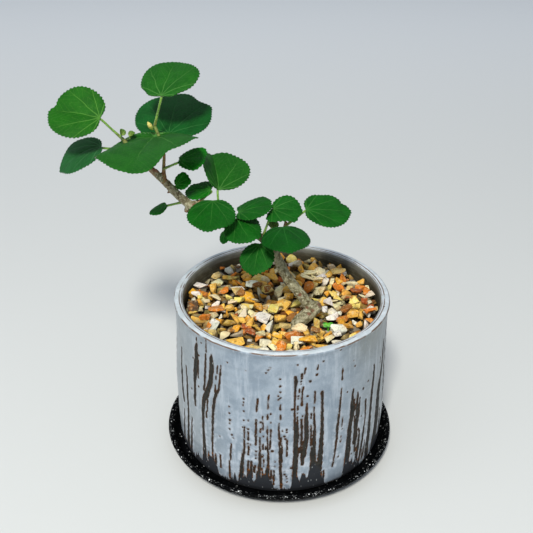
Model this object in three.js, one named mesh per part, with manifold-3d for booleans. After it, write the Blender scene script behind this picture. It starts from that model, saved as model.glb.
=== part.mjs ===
// Sea hibiscus bonsai: a young tree in a round glazed pot of coarse grit, standing on a saucer.
// Millimetres, +Z up, +X to the right, the viewer on the -Y side.
// The origin lies on the pot's axis, on the flat underside of the saucer.
import * as THREE from 'three';
import { mergeVertices } from 'three/addons/utils/BufferGeometryUtils.js';
import Module from 'manifold-3d';

const wasm = await Module();
wasm.setup();

// Clearance between a piece and what it rests on or in
const SEAT_GAP = 0.3;
// Vertices closer together than this are one vertex
const WELD = 1e-4;

// Saucer
const SAUCER_RADIUS = 67.4;
const SAUCER_HEIGHT = 10;
const SAUCER_FLOOR = 3;
const SAUCER_FOOT_RADIUS = 54;
const SAUCER_WALL = 3;
const SAUCER_SHIFT = new THREE.Vector3(-0.6, -1.8, 0);

// Pot
const POT_HEIGHT = 94;
const POT_FOOT_RADIUS = 56.5;
const POT_BELLY_RADIUS = 61;
const POT_NECK_RADIUS = 59.2;
const POT_LIP_RADIUS = 60.2;
const POT_BORE_RADIUS = 54.8;
const POT_FLOOR = 6;
const POT_SEAT = SAUCER_FLOOR + SEAT_GAP;
const DRAIN_HOLE_RADIUS = 8;
const POT_SIDES = 36;

// Drain mesh
const MESH_RADIUS = 14;
const MESH_THICKNESS = 1;
const MESH_HOLE_RADIUS = 1.5;
// Each ring of holes: its radius and how many holes it has
const MESH_RINGS = [[0, 1], [5, 5], [10, 9]];

// Grit: the bed, and the chips that cover it
const GRIT_SEED = 11;
const GRIT_TOP = POT_SEAT + 87.2;
const CHIP_PITCH = 10.6;
const CHIP_LENGTH = [11.5, 15.5];
const CHIP_WIDTH = [9, 12];
const CHIP_THICKNESS = [4, 6];
const CHIP_TILT = 0.4;
const CHIP_KNOCK = 0.17;
// How far a chip's middle strays sideways and up, and how far the chips keep from the pot's wall
const CHIP_STRAY = 1;
const CHIP_LIFT = 0.5;
const CHIP_MARGIN = 3.5;
// The bed lies this far below the middles of the chips, so that its flat top doesn't show
const BED_DROP = 1;

// Leaf blades
const BLADE_THICKNESS = 0.75;
const BLADE_CENTRE = 0.82;
const NOTCH_DEPTH = 0.15;
const NOTCH_WIDTH = 0.35;
const TIP_LENGTH = 0.07;
const TIP_WIDTH = 0.2;
const TOOTH_DEPTH = 0.018;
// Waves of the margin round the blade
const WAVE_COUNT = 3;
// Points round the margin, two to a tooth, on a broad blade and on a small one
const BROAD_BLADE = 15;
const BROAD_POINTS = 32;
const SMALL_POINTS = 16;
// Where the rings of points lie between the joint (0) and the margin (1); the largest has one more
const LARGE_BLADE = 45;
const RINGS = [0.5, 1];
const LARGE_RINGS = [0.4, 0.75, 1];

// Leaf stalks: the radius, and its share at the wood, half way, below the joint and inside the blade
const STALK_RADIUS = 0.65;
const STALK_TAPER = [1.15, 1, 1, 0.55];
const STALK_SIDES = 5;
// Where the stalk meets the blade: a point just under the joint, and its end inside the blade
const STALK_UNDER = new THREE.Vector3(-0.3, 0, -1.1);
const STALK_END = new THREE.Vector3(1.5, 0, -BLADE_THICKNESS / 2);

// Wood: each limb as its points and its radius at each
const LIMBS = {
  stub: {
    points: [
      [19.8, -19.6, 101], [17.5, -19, 99], [13.9, -20.5, 95.8], [9.2, -22.7, 92.4], [5, -24, 84], [3, -24.5, 74],
    ],
    radii: [2.8, 3.8, 3.9, 3.8, 3.4, 2.6],
  },
  stem: {
    points: [
      [15, -18.8, 99], [10, -18.2, 106.5], [5.5, -17.5, 112.5], [1.5, -16.5, 118], [-2, -15.2, 125.5],
      [-5.5, -14, 132.5],
      [-12, -12, 138], [-31, -10, 147.5], [-48, -9, 155], [-60, -8, 167], [-67.5, -7, 174.5],
      [-75, -6, 182], [-80.5, -5, 189.5],
    ],
    radii: [3.2, 3, 2.9, 2.8, 2.5, 2.3, 2.2, 2.2, 2.4, 2, 1.8, 1.4, 0.9],
  },
  crownShoot: {
    points: [[-60.5, -8, 167.5], [-60.3, -7, 175], [-60, -5.5, 181.5], [-62.5, -2.5, 190], [-64.5, -1, 194.5]],
    radii: [1.6, 1.2, 1.1, 1.1, 0.9],
  },
  sideTwig: {
    points: [[-5.5, -14, 132.5], [-2.5, -12.3, 138], [0.5, -11, 142.2], [1.6, -10, 146]],
    radii: [1.9, 1.3, 1.1, 0.8],
  },
  knuckleStub: {
    points: [[-47.5, -9, 155], [-49.5, -9, 152.2], [-50.3, -9.2, 150.8]],
    radii: [1.9, 1.5, 1.1],
  },
  knuckleTwig: {
    points: [[-47.5, -9, 155], [-45, -8.5, 156], [-42.3, -8, 156.8]],
    radii: [1.8, 1.1, 0.8],
  },
  scarStub: {
    points: [[-56.5, -8.2, 163.5], [-58, -8.4, 162], [-59.2, -8.5, 161.2]],
    radii: [1.2, 1, 0.6],
  },
  forkStub: {
    points: [[-61.5, -8, 168.5], [-63, -8.5, 172], [-64, -8.8, 174.5]],
    radii: [1.5, 1.1, 0.6],
  },
};

// Leaves. joint: where the blade joins its stalk. root: where the stalk leaves the wood.
// heading, rise, roll: the midrib's compass angle, its slope and the blade's turn about it, in degrees.
// width: across the blade. fold: how steeply the halves rise from the midrib. curl: how far the tip is
// bent down, and arch: how far the sides are, in radians. wave: the margin's swell, for its radius.
const LEAVES = {
  leaf_crown_top: {
    joint: [-60.2, -2, 209.8], root: [-64.3, -1, 194.2],
    heading: 79, rise: 29, roll: -7, width: 30, fold: 0.15, curl: 0.25, arch: 0.4, wave: 0.05, phase: -0.9,
  },
  leaf_crown_back: {
    joint: [-58.5, 5.4, 187.7], root: [-60.2, -5.5, 181.8],
    heading: 87, rise: 21, roll: 0, width: 40.6, fold: 0.03, curl: 0.21, arch: 0.25, wave: 0.03, phase: -1.3,
  },
  leaf_far_left: {
    joint: [-90.1, -6, 199.9], root: [-80.3, -5, 189],
    heading: 170, rise: 11, roll: -38, width: 29.2, fold: 0.13, curl: 0.31, arch: 0.09, wave: 0.04, phase: -0.9,
  },
  leaf_lower_left: {
    joint: [-92.5, 1.1, 182.7], root: [-76.2, -5.5, 183.2],
    heading: -162, rise: -3, roll: -9, width: 26.6, fold: 0.1, curl: 0.87, arch: 0.25, wave: 0.01, phase: 1.8,
  },
  leaf_crown_front: {
    joint: [-64.6, -0.3, 188.3], root: [-70, -7, 177.5],
    heading: -98, rise: 12, roll: 11, width: 51, fold: 0.14, curl: 0.3, arch: 0.36, wave: 0.1, phase: -2.2,
  },
  leaf_fork: {
    joint: [-52.0, -8, 178.9], root: [-60.8, -8, 174],
    heading: -1, rise: 14, roll: 13, width: 16.8, fold: 0.02, curl: 0.22, arch: 0.13, wave: 0.06, phase: -2.4,
  },
  leaf_fork_small: {
    joint: [-54.7, -8, 165.4], root: [-57.5, -8, 163.5],
    heading: 6, rise: 29, roll: 37, width: 9.3, fold: 0.09, curl: 0.15, arch: 0, wave: 0.06, phase: -2.5,
  },
  leaf_middle_tall: {
    joint: [-33.1, -6.2, 162.4], root: [-33, -10, 148.5],
    heading: 96, rise: 25, roll: 28, width: 28.6, fold: 0.58, curl: 0.3, arch: 0, wave: 0.04, phase: 2.7,
  },
  leaf_middle_back: {
    joint: [-37.5, -3, 160.6], root: [-42.3, -8, 156.8],
    heading: 167, rise: -7, roll: -12, width: 15.1, fold: 0.08, curl: 0.09, arch: 0.12, wave: 0.04, phase: -2.7,
  },
  leaf_knuckle: {
    joint: [-60.1, -10, 155.6], root: [-51, -9, 156.5],
    heading: -157, rise: -22, roll: 5, width: 10.4, fold: 0.08, curl: 0.06, arch: 0.32, wave: 0.02, phase: 2.5,
  },
  leaf_middle_front: {
    joint: [-35.6, -14, 159.5], root: [-38.5, -9.5, 151],
    heading: -91, rise: -8, roll: -1, width: 24.1, fold: 0.06, curl: 0.28, arch: 0.45, wave: 0.02, phase: 0.3,
  },
  leaf_waist_front: {
    joint: [-24, -15.6, 150.4], root: [-25, -10.5, 145],
    heading: -65, rise: -11, roll: 11, width: 19.7, fold: 0, curl: 0.2, arch: 0.45, wave: 0.02, phase: 0.1,
  },
  leaf_waist_back: {
    joint: [-22.4, -12.9, 152.6], root: [-19, -9.4, 142.8],
    heading: -6, rise: 26, roll: 8, width: 19.8, fold: 0.07, curl: 0.38, arch: 0.26, wave: 0, phase: 2.8,
  },
  leaf_right_inner: {
    joint: [-5.5, -13, 154.4], root: [-10.5, -12, 138],
    heading: -10, rise: 11, roll: 24, width: 16.6, fold: 0.16, curl: 0.49, arch: 0.16, wave: 0.05, phase: -2.8,
  },
  leaf_far_right: {
    joint: [11.9, -10, 153.0], root: [1, -10.7, 143.5],
    heading: 5, rise: -2, roll: 17, width: 25.2, fold: 0.07, curl: 0.17, arch: 0.18, wave: 0.03, phase: 2.2,
  },
  leaf_right_front: {
    joint: [-0.3, -20, 147.8], root: [0, -11.3, 141],
    heading: -83, rise: 5, roll: 2, width: 25.2, fold: 0.07, curl: 0.34, arch: 0.62, wave: 0.01, phase: 2.1,
  },
  leaf_low: {
    joint: [-12.0, -18, 136.9], root: [-8.5, -13, 135],
    heading: -105, rise: -34, roll: 6, width: 18.7, fold: 0.01, curl: 0.14, arch: 0.24, wave: 0.04, phase: -0.1,
  },
  leaf_low_small: {
    joint: [-29.9, -14, 142], root: [-31, -10.5, 146],
    heading: -111, rise: -50, roll: 20, width: 7, fold: 0, curl: 0.2, arch: 0.3, wave: 0, phase: 0,
  },
  leaf_young_twig: {
    joint: [-4.7, -11.1, 142.2], root: [-3, -12.6, 137.5],
    heading: 111, rise: 20, roll: 11, width: 6.5, fold: 0.5, curl: 0, arch: 0, wave: 0, phase: 0,
  },
  leaf_young_left: {
    joint: [-79.7, -7.7, 191.6], root: [-80.2, -5.8, 188.6],
    heading: 103, rise: 60, roll: 36, width: 3.6, fold: 0.7, curl: 0, arch: 0, wave: 0, phase: 0,
  },
  leaf_young_right: {
    joint: [-77.2, -1.7, 189], root: [-79.2, -5, 188],
    heading: 20, rise: 30, roll: 20, width: 3.6, fold: 0.7, curl: 0, arch: 0, wave: 0, phase: 0,
  },
};

// Crown bud
const BUD_BASE = new THREE.Vector3(-65.4, -2, 192.6);
const BUD_TIP = new THREE.Vector3(-67.4, -3, 197);
const BUD_RADII = [0.7, 1.2, 0.15];
const BUD_WIDEST = 0.45;

// Sprout: where its stem stands in the grit, and the two seed leaves on it
const SPROUT_BASE = new THREE.Vector3(24.2, -28.5, 87);
const SPROUT_HEIGHT = 6.8;
const SPROUT_RADIUS = 0.5;
const SEED_LEAF_LENGTH = 4.2;
const SEED_LEAF_THICKNESS = 0.7;
const SEED_LEAF_HEADINGS = [15, 165];
// The chips round the sprout lie this much lower, as far out as this
const SPROUT_HOLLOW = 2.2;
const SPROUT_HOLLOW_RADIUS = 9.5;

const FINISHES = {
  saucer: new THREE.MeshStandardMaterial({ color: 0x1d1e20, roughness: 0.45, metalness: 0 }),
  glaze: new THREE.MeshStandardMaterial({ color: 0xaeb9c8, roughness: 0.3, metalness: 0 }),
  mesh: new THREE.MeshStandardMaterial({ color: 0x22211f, roughness: 0.6, metalness: 0 }),
  grit: new THREE.MeshStandardMaterial({ color: 0xc39a5c, roughness: 0.9, metalness: 0 }),
  bark: new THREE.MeshStandardMaterial({ color: 0x7f7a66, roughness: 0.85, metalness: 0 }),
  leaf: new THREE.MeshStandardMaterial({ color: 0x2f7d2d, roughness: 0.5, metalness: 0 }),
  youngLeaf: new THREE.MeshStandardMaterial({ color: 0x6f9c34, roughness: 0.5, metalness: 0 }),
  bud: new THREE.MeshStandardMaterial({ color: 0xc3cf7a, roughness: 0.5, metalness: 0 }),
};

const radians = THREE.MathUtils.degToRad;

// The same run of numbers from 0 to 1 for the same seed
function seededRandom(seed) {
  let state = seed;
  return () => {
    state = (state * 1664525 + 1013904223) % 4294967296;
    return state / 4294967296;
  };
}

function bump(distance, width) {
  return Math.exp(-((distance / width) ** 2));
}

// A closed geometry as a solid that can be joined and cut
function solidFrom(geometry) {
  geometry.deleteAttribute('normal');
  geometry.deleteAttribute('uv');
  const welded = mergeVertices(geometry, WELD);
  const corners = welded.index.array;
  const triangles = [];
  for (let i = 0; i < corners.length; i += 3) {
    const [a, b, c] = corners.slice(i, i + 3);
    if (a !== b && b !== c && c !== a) {
      triangles.push(a, b, c);
    }
  }
  return new wasm.Manifold(new wasm.Mesh({
    numProp: 3,
    vertProperties: welded.attributes.position.array,
    triVerts: new Uint32Array(triangles),
  }));
}

// The outer shell of a solid, without any pocket or crumb left inside it or beside it
function largestShell(solid) {
  return solid.decompose().reduce((best, shell) => (shell.volume() > best.volume() ? shell : best));
}

function geometryFrom(solid) {
  const mesh = solid.getMesh();
  const geometry = new THREE.BufferGeometry();
  geometry.setAttribute('position', new THREE.BufferAttribute(mesh.vertProperties, 3));
  geometry.setIndex(new THREE.BufferAttribute(mesh.triVerts, 1));
  return geometry;
}

// A geometry from rows of points that are all as long, closed round each row
function lofted(rows, start, end) {
  const count = rows[0].length;
  const points = [...rows.flat(), start, end];
  const startIndex = rows.length * count;
  const endIndex = startIndex + 1;
  const triangles = [];
  for (let k = 0; k < count; k++) {
    const next = (k + 1) % count;
    triangles.push(startIndex, next, k);
    for (let row = 0; row < rows.length - 1; row++) {
      const here = row * count;
      const above = here + count;
      triangles.push(here + k, here + next, above + next, here + k, above + next, above + k);
    }
    const last = (rows.length - 1) * count;
    triangles.push(last + k, last + next, endIndex);
  }
  const geometry = new THREE.BufferGeometry().setFromPoints(points);
  geometry.setIndex(triangles);
  return geometry;
}

// A ring, dish or cup turned about the Z axis, from a closed profile of [radius, height]
function turned(profile, sides) {
  const points = profile.map(([radius, height]) => new THREE.Vector2(radius, height));
  const geometry = new THREE.LatheGeometry([...points, points[0]], sides);
  return geometry.rotateX(Math.PI / 2);
}

// A round limb that tapers along a smooth line; grow swells it all over
function limb(points, radii, sides, steps, grow = 0) {
  const curve = new THREE.CatmullRomCurve3(points.map((point) => new THREE.Vector3(...point)));
  const across = new THREE.Vector3(0, 1, 0);
  const rows = [];
  for (let step = 0; step <= steps; step++) {
    const share = step / steps;
    const along = curve.getTangent(share);
    across.addScaledVector(along, -across.dot(along)).normalize();
    const beside = new THREE.Vector3().crossVectors(along, across);
    const place = share * (radii.length - 1);
    const before = Math.min(Math.floor(place), radii.length - 2);
    const radius = THREE.MathUtils.lerp(radii[before], radii[before + 1], place - before) + grow;
    const overrun = step === 0 ? -grow : step === steps ? grow : 0;
    const centre = curve.getPoint(share).addScaledVector(along, overrun);
    rows.push(Array.from({ length: sides }, (_, k) => {
      const turn = (k / sides) * 2 * Math.PI;
      return centre.clone()
        .addScaledVector(across, radius * Math.cos(turn))
        .addScaledVector(beside, radius * Math.sin(turn));
    }));
  }
  const middle = (row) => row.reduce((sum, point) => sum.add(point), new THREE.Vector3()).divideScalar(sides);
  return solidFrom(lofted(rows, middle(rows[0]), middle(rows[steps])));
}

// The whole of the wood; grow gives the same wood swollen, which cuts clearances
function wood(grow) {
  const sides = { stub: 10, stem: 10, crownShoot: 7, sideTwig: 7 };
  const steps = { stub: 8, stem: 22, crownShoot: 7, sideTwig: 4 };
  const limbs = Object.entries(LIMBS).map(([name, { points, radii }]) =>
    limb(points, radii, sides[name] ?? 6, steps[name] ?? 2, grow));
  return limbs.reduce((whole, part) => whole.add(part));
}

// A strip bent into an arc: how far along and how high a point of it comes to lie
function bend(distance, height, turn, span) {
  if (turn === 0) {
    return [distance, height];
  }
  const radius = span / turn;
  const angle = distance / radius;
  return [(radius + height) * Math.sin(angle), (radius + height) * Math.cos(angle) - radius];
}

// A point of the blade: turn goes round its middle, reach goes from the joint (0) to the margin (1)
function bladePoint(leaf, turn, reach, tooth, depth) {
  const radius = leaf.width / 2;
  const swell = 1 + tooth + TIP_LENGTH * bump(turn, TIP_WIDTH)
    - NOTCH_DEPTH * bump(Math.PI - Math.abs(turn), NOTCH_WIDTH);
  const ahead = radius * reach * (BLADE_CENTRE + swell * Math.cos(turn));
  const aside = radius * reach * swell * Math.sin(turn);
  const height = leaf.fold * Math.abs(aside) + leaf.wave * radius * reach ** 2 * Math.sin(WAVE_COUNT * turn + leaf.phase);
  const [across, lift] = bend(aside, height - depth, leaf.arch, radius);
  const [along, up] = bend(ahead, lift, leaf.curl, radius * (1 + BLADE_CENTRE));
  return new THREE.Vector3(along, across, up);
}

// The blade, with its toothed margin, in its own frame: midrib along X from the joint, upper face +Z
function blade(leaf) {
  const count = leaf.width > BROAD_BLADE ? BROAD_POINTS : SMALL_POINTS;
  const reaches = leaf.width > LARGE_BLADE ? LARGE_RINGS : RINGS;
  const row = (reach, depth) => Array.from({ length: count }, (_, k) => {
    const turn = (k / count) * 2 * Math.PI - Math.PI;
    const tooth = k % 2 === 0 ? TOOTH_DEPTH : -TOOTH_DEPTH;
    return bladePoint(leaf, turn, reach, tooth * reach, depth);
  });
  const lower = reaches.map((reach) => row(reach, BLADE_THICKNESS));
  const upper = reaches.map((reach) => row(reach, 0)).reverse();
  const joint = (depth) => bladePoint(leaf, 0, 0, 0, depth);
  return lofted([...lower, ...upper], joint(BLADE_THICKNESS), joint(0));
}

// A leaf: its blade and its stalk in one, clear of the wood
function leafSolid(leaf, clearance) {
  const turn = new THREE.Euler(radians(leaf.roll), radians(-leaf.rise), radians(leaf.heading), 'ZYX');
  const frame = new THREE.Matrix4().makeRotationFromEuler(turn).setPosition(...leaf.joint);
  const placed = solidFrom(blade(leaf).applyMatrix4(frame));
  const inBlade = STALK_END.clone().applyMatrix4(frame);
  const underBlade = STALK_UNDER.clone().applyMatrix4(frame);
  const root = new THREE.Vector3(...leaf.root);
  const middle = root.clone().lerp(underBlade, 0.5);
  const stalkPoints = [root, middle, underBlade, inBlade].map((point) => point.toArray());
  const stalk = limb(stalkPoints, STALK_TAPER.map((share) => share * STALK_RADIUS), STALK_SIDES, STALK_SIDES);
  return placed.add(stalk).subtract(clearance);
}

// The saucer: flat underside, flared wall, rounded lip, flat floor
function saucer() {
  const lip = SAUCER_HEIGHT;
  return turned([
    [0, 0], [SAUCER_FOOT_RADIUS, 0], [SAUCER_FOOT_RADIUS + 7, 0.8], [SAUCER_RADIUS - 2.6, 3.6],
    [SAUCER_RADIUS - 0.6, lip - 3.5], [SAUCER_RADIUS, lip - 1.4], [SAUCER_RADIUS - 0.7, lip - 0.2],
    [SAUCER_RADIUS - 1.7, lip], [SAUCER_RADIUS - SAUCER_WALL, lip - 1],
    [SAUCER_RADIUS - SAUCER_WALL - 1, SAUCER_FLOOR + 2.6], [SAUCER_RADIUS - SAUCER_WALL - 2.6, SAUCER_FLOOR],
    [0, SAUCER_FLOOR],
  ], POT_SIDES).translate(...SAUCER_SHIFT);
}

// The pot: upright wall with a slight belly, a rounded lip band, and a drain hole in its floor
function pot() {
  const top = POT_HEIGHT;
  return turned([
    [DRAIN_HOLE_RADIUS, 0], [POT_FOOT_RADIUS, 0], [POT_FOOT_RADIUS + 2.4, 1], [POT_BELLY_RADIUS - 0.7, 4.5],
    [POT_BELLY_RADIUS, 20], [POT_BELLY_RADIUS, 45], [POT_NECK_RADIUS + 0.4, 75], [POT_NECK_RADIUS + 0.1, top - 4],
    [POT_LIP_RADIUS - 0.3, top - 2], [POT_LIP_RADIUS, top - 1.1], [POT_LIP_RADIUS - 0.5, top - 0.4],
    [POT_LIP_RADIUS - 1.4, top], [POT_BORE_RADIUS + 2.2, top - 0.1], [POT_BORE_RADIUS + 0.5, top - 0.6],
    [POT_BORE_RADIUS, top - 1.6], [POT_BORE_RADIUS, POT_FLOOR + 3], [POT_BORE_RADIUS - 3, POT_FLOOR],
    [DRAIN_HOLE_RADIUS, POT_FLOOR],
  ], POT_SIDES).translate(0, 0, POT_SEAT);
}

// The drain mesh: a disc with rings of round holes, on the pot's floor
function drainMesh() {
  const round = (centre, radius, sides) => Array.from({ length: sides }, (_, k) => {
    const turn = ((k + 0.5) / sides) * 2 * Math.PI;
    return new THREE.Vector2(centre.x + radius * Math.cos(turn), centre.y + radius * Math.sin(turn));
  });
  const disc = new THREE.Shape(round(new THREE.Vector2(), MESH_RADIUS, 24));
  for (const [distance, count] of MESH_RINGS) {
    for (let k = 0; k < count; k++) {
      const turn = (k / count) * 2 * Math.PI + distance;
      const centre = new THREE.Vector2(distance * Math.cos(turn), distance * Math.sin(turn));
      disc.holes.push(new THREE.Path(round(centre, MESH_HOLE_RADIUS, 5)));
    }
  }
  const geometry = new THREE.ExtrudeGeometry(disc, { depth: MESH_THICKNESS, bevelEnabled: false });
  return geometry.translate(0, 0, POT_SEAT + POT_FLOOR + SEAT_GAP);
}

// One chip of grit: a slab with its corners knocked about
function chip(random, centre) {
  const between = ([low, high]) => THREE.MathUtils.lerp(low, high, random());
  const size = new THREE.Vector3(between(CHIP_LENGTH), between(CHIP_WIDTH), between(CHIP_THICKNESS));
  const box = new THREE.BoxGeometry(1, 1, 1);
  box.deleteAttribute('normal');
  box.deleteAttribute('uv');
  const slab = mergeVertices(box);
  const corners = slab.attributes.position;
  for (let i = 0; i < corners.count; i++) {
    const knocked = [corners.getX(i), corners.getY(i), corners.getZ(i)].map((value) =>
      value - Math.sign(value) * random() * 2 * CHIP_KNOCK);
    corners.setXYZ(i, ...knocked);
  }
  const tilt = () => (random() * 2 - 1) * CHIP_TILT;
  const turn = new THREE.Euler(tilt(), tilt(), random() * 2 * Math.PI);
  slab.scale(...size).applyMatrix4(new THREE.Matrix4().makeRotationFromEuler(turn));
  return solidFrom(slab.translate(...centre));
}

// The grit: a bed that fills the pot, covered with chips, with a plain hole for the stub
function grit(aroundStub, aroundSprout) {
  const radius = POT_BORE_RADIUS - SEAT_GAP;
  const floor = POT_SEAT + POT_FLOOR + MESH_THICKNESS + 2 * SEAT_GAP;
  const filling = (top) => solidFrom(turned([
    [0, floor], [radius - 3, floor], [radius, floor + 2.4], [radius, top], [0, top],
  ], POT_SIDES));
  const random = seededRandom(GRIT_SEED);
  const stray = (reach) => (random() * 2 - 1) * reach;
  const rowPitch = CHIP_PITCH * Math.sqrt(0.75);
  const rows = Math.ceil(radius / rowPitch);
  const chips = [];
  for (let row = -rows; row <= rows; row++) {
    for (let column = -rows; column <= rows; column++) {
      const x = (column + (row % 2) / 2) * CHIP_PITCH + stray(CHIP_STRAY);
      const y = row * rowPitch + stray(CHIP_STRAY);
      if (Math.hypot(x, y) < radius - CHIP_MARGIN) {
        const bySprout = Math.hypot(x - SPROUT_BASE.x, y - SPROUT_BASE.y) < SPROUT_HOLLOW_RADIUS;
        const height = GRIT_TOP + stray(CHIP_LIFT) - (bySprout ? SPROUT_HOLLOW : 0);
        chips.push(chip(random, new THREE.Vector3(x, y, height)));
      }
    }
  }
  const bed = filling(GRIT_TOP - BED_DROP);
  const whole = chips.reduce((sum, piece) => sum.add(piece), bed)
    .intersect(filling(POT_SEAT + POT_HEIGHT))
    .subtract(aroundStub)
    .subtract(aroundSprout);
  return largestShell(whole);
}

// The crown bud: a pointed drop beside the top leaf's stalk
function crownBud(clearance) {
  const middle = BUD_BASE.clone().lerp(BUD_TIP, BUD_WIDEST);
  const points = [BUD_BASE, middle, BUD_TIP].map((point) => point.toArray());
  return limb(points, BUD_RADII, 7, 4).subtract(clearance);
}

// The sprout between the chips: a short stem with two seed leaves; grow swells the stem alone
function sproutStem(grow) {
  const top = SPROUT_BASE.clone().add(new THREE.Vector3(0, 0, SPROUT_HEIGHT));
  return limb([SPROUT_BASE.toArray(), top.toArray()], [SPROUT_RADIUS, SPROUT_RADIUS], 6, 1, grow);
}

function sprout() {
  const seedLeaves = SEED_LEAF_HEADINGS.map((heading) => {
    const leaf = new THREE.SphereGeometry(1, 8, 6).scale(
      SEED_LEAF_LENGTH / 2, SEED_LEAF_LENGTH / 3, SEED_LEAF_THICKNESS / 2);
    leaf.translate(SEED_LEAF_LENGTH / 2 - SPROUT_RADIUS, 0, 0).rotateZ(radians(heading));
    return solidFrom(leaf.translate(SPROUT_BASE.x, SPROUT_BASE.y, SPROUT_BASE.z + SPROUT_HEIGHT));
  });
  return seedLeaves.reduce((whole, leaf) => whole.add(leaf), sproutStem(0));
}

const bonsai = new THREE.Group();

function addPiece(name, geometry, material) {
  const piece = new THREE.Mesh(geometry, material);
  piece.name = name;
  bonsai.add(piece);
}

const tree = wood(0);
const aroundWood = wood(SEAT_GAP);
addPiece('saucer', geometryFrom(solidFrom(saucer())), FINISHES.saucer);
addPiece('pot', geometryFrom(solidFrom(pot())), FINISHES.glaze);
addPiece('drain_mesh', geometryFrom(solidFrom(drainMesh())), FINISHES.mesh);
addPiece('grit', geometryFrom(grit(aroundWood, sproutStem(SEAT_GAP))), FINISHES.grit);
addPiece('trunk', geometryFrom(tree), FINISHES.bark);
for (const [name, leaf] of Object.entries(LEAVES)) {
  const material = name.startsWith('leaf_young') ? FINISHES.youngLeaf : FINISHES.leaf;
  addPiece(name, geometryFrom(leafSolid(leaf, aroundWood)), material);
}
addPiece('crown_bud', geometryFrom(crownBud(aroundWood)), FINISHES.bud);
addPiece('sprout', geometryFrom(sprout()), FINISHES.youngLeaf);

export default bonsai;
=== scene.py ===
"""The finished look of a sea hibiscus bonsai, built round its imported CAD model.

Everything is worked out in millimetres and turned into metres when a mesh is made.
"""

import logging
import math
import random
from dataclasses import dataclass, field
from enum import Enum
from typing import Any, Optional, Sequence, Union

import bmesh
import bpy
import numpy as np
from mathutils import Euler, Matrix, Vector


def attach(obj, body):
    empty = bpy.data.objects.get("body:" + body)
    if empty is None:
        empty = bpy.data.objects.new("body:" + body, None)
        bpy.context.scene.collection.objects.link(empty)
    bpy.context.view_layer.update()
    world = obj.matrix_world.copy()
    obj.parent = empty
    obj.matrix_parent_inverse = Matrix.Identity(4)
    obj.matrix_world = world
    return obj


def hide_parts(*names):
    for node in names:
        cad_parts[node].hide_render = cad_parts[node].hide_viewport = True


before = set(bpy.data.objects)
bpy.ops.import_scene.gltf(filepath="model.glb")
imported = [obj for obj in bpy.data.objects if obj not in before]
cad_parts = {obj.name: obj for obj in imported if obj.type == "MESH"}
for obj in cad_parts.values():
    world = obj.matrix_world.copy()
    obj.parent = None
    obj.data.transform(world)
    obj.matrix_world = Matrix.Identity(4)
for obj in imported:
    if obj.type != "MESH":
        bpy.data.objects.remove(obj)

MM = 0.001
LOG = logging.getLogger("bonsai")

Point = tuple[float, float, float]
Colour = tuple[float, float, float, float]

# The angle between two main veins at a blade's joint, and the gap between two side veins in mm
FAN = math.radians(29)
VEIN_SPACING = 3.4

# The height of the grit's top, and the point in it from which the sprout's stem rises, in mm
GRIT_LEVEL = 92.3
SPROUT_FOOT: Point = (24.2, -28.5, 87)


def srgb(red: float, green: float, blue: float) -> Colour:
    """Turn a colour as seen on a screen, 0 to 255, into the linear colour that shaders use.

    Args:
        red: Red share, 0 to 255.
        green: Green share, 0 to 255.
        blue: Blue share, 0 to 255.

    Returns:
        The linear colour with full alpha.
    """
    def linear(share: float) -> float:
        """Give one linear channel."""
        value = share / 255
        return value / 12.92 if value <= 0.04045 else ((value + 0.055) / 1.055) ** 2.4

    return linear(red), linear(green), linear(blue), 1.0


# Shader graph

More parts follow.
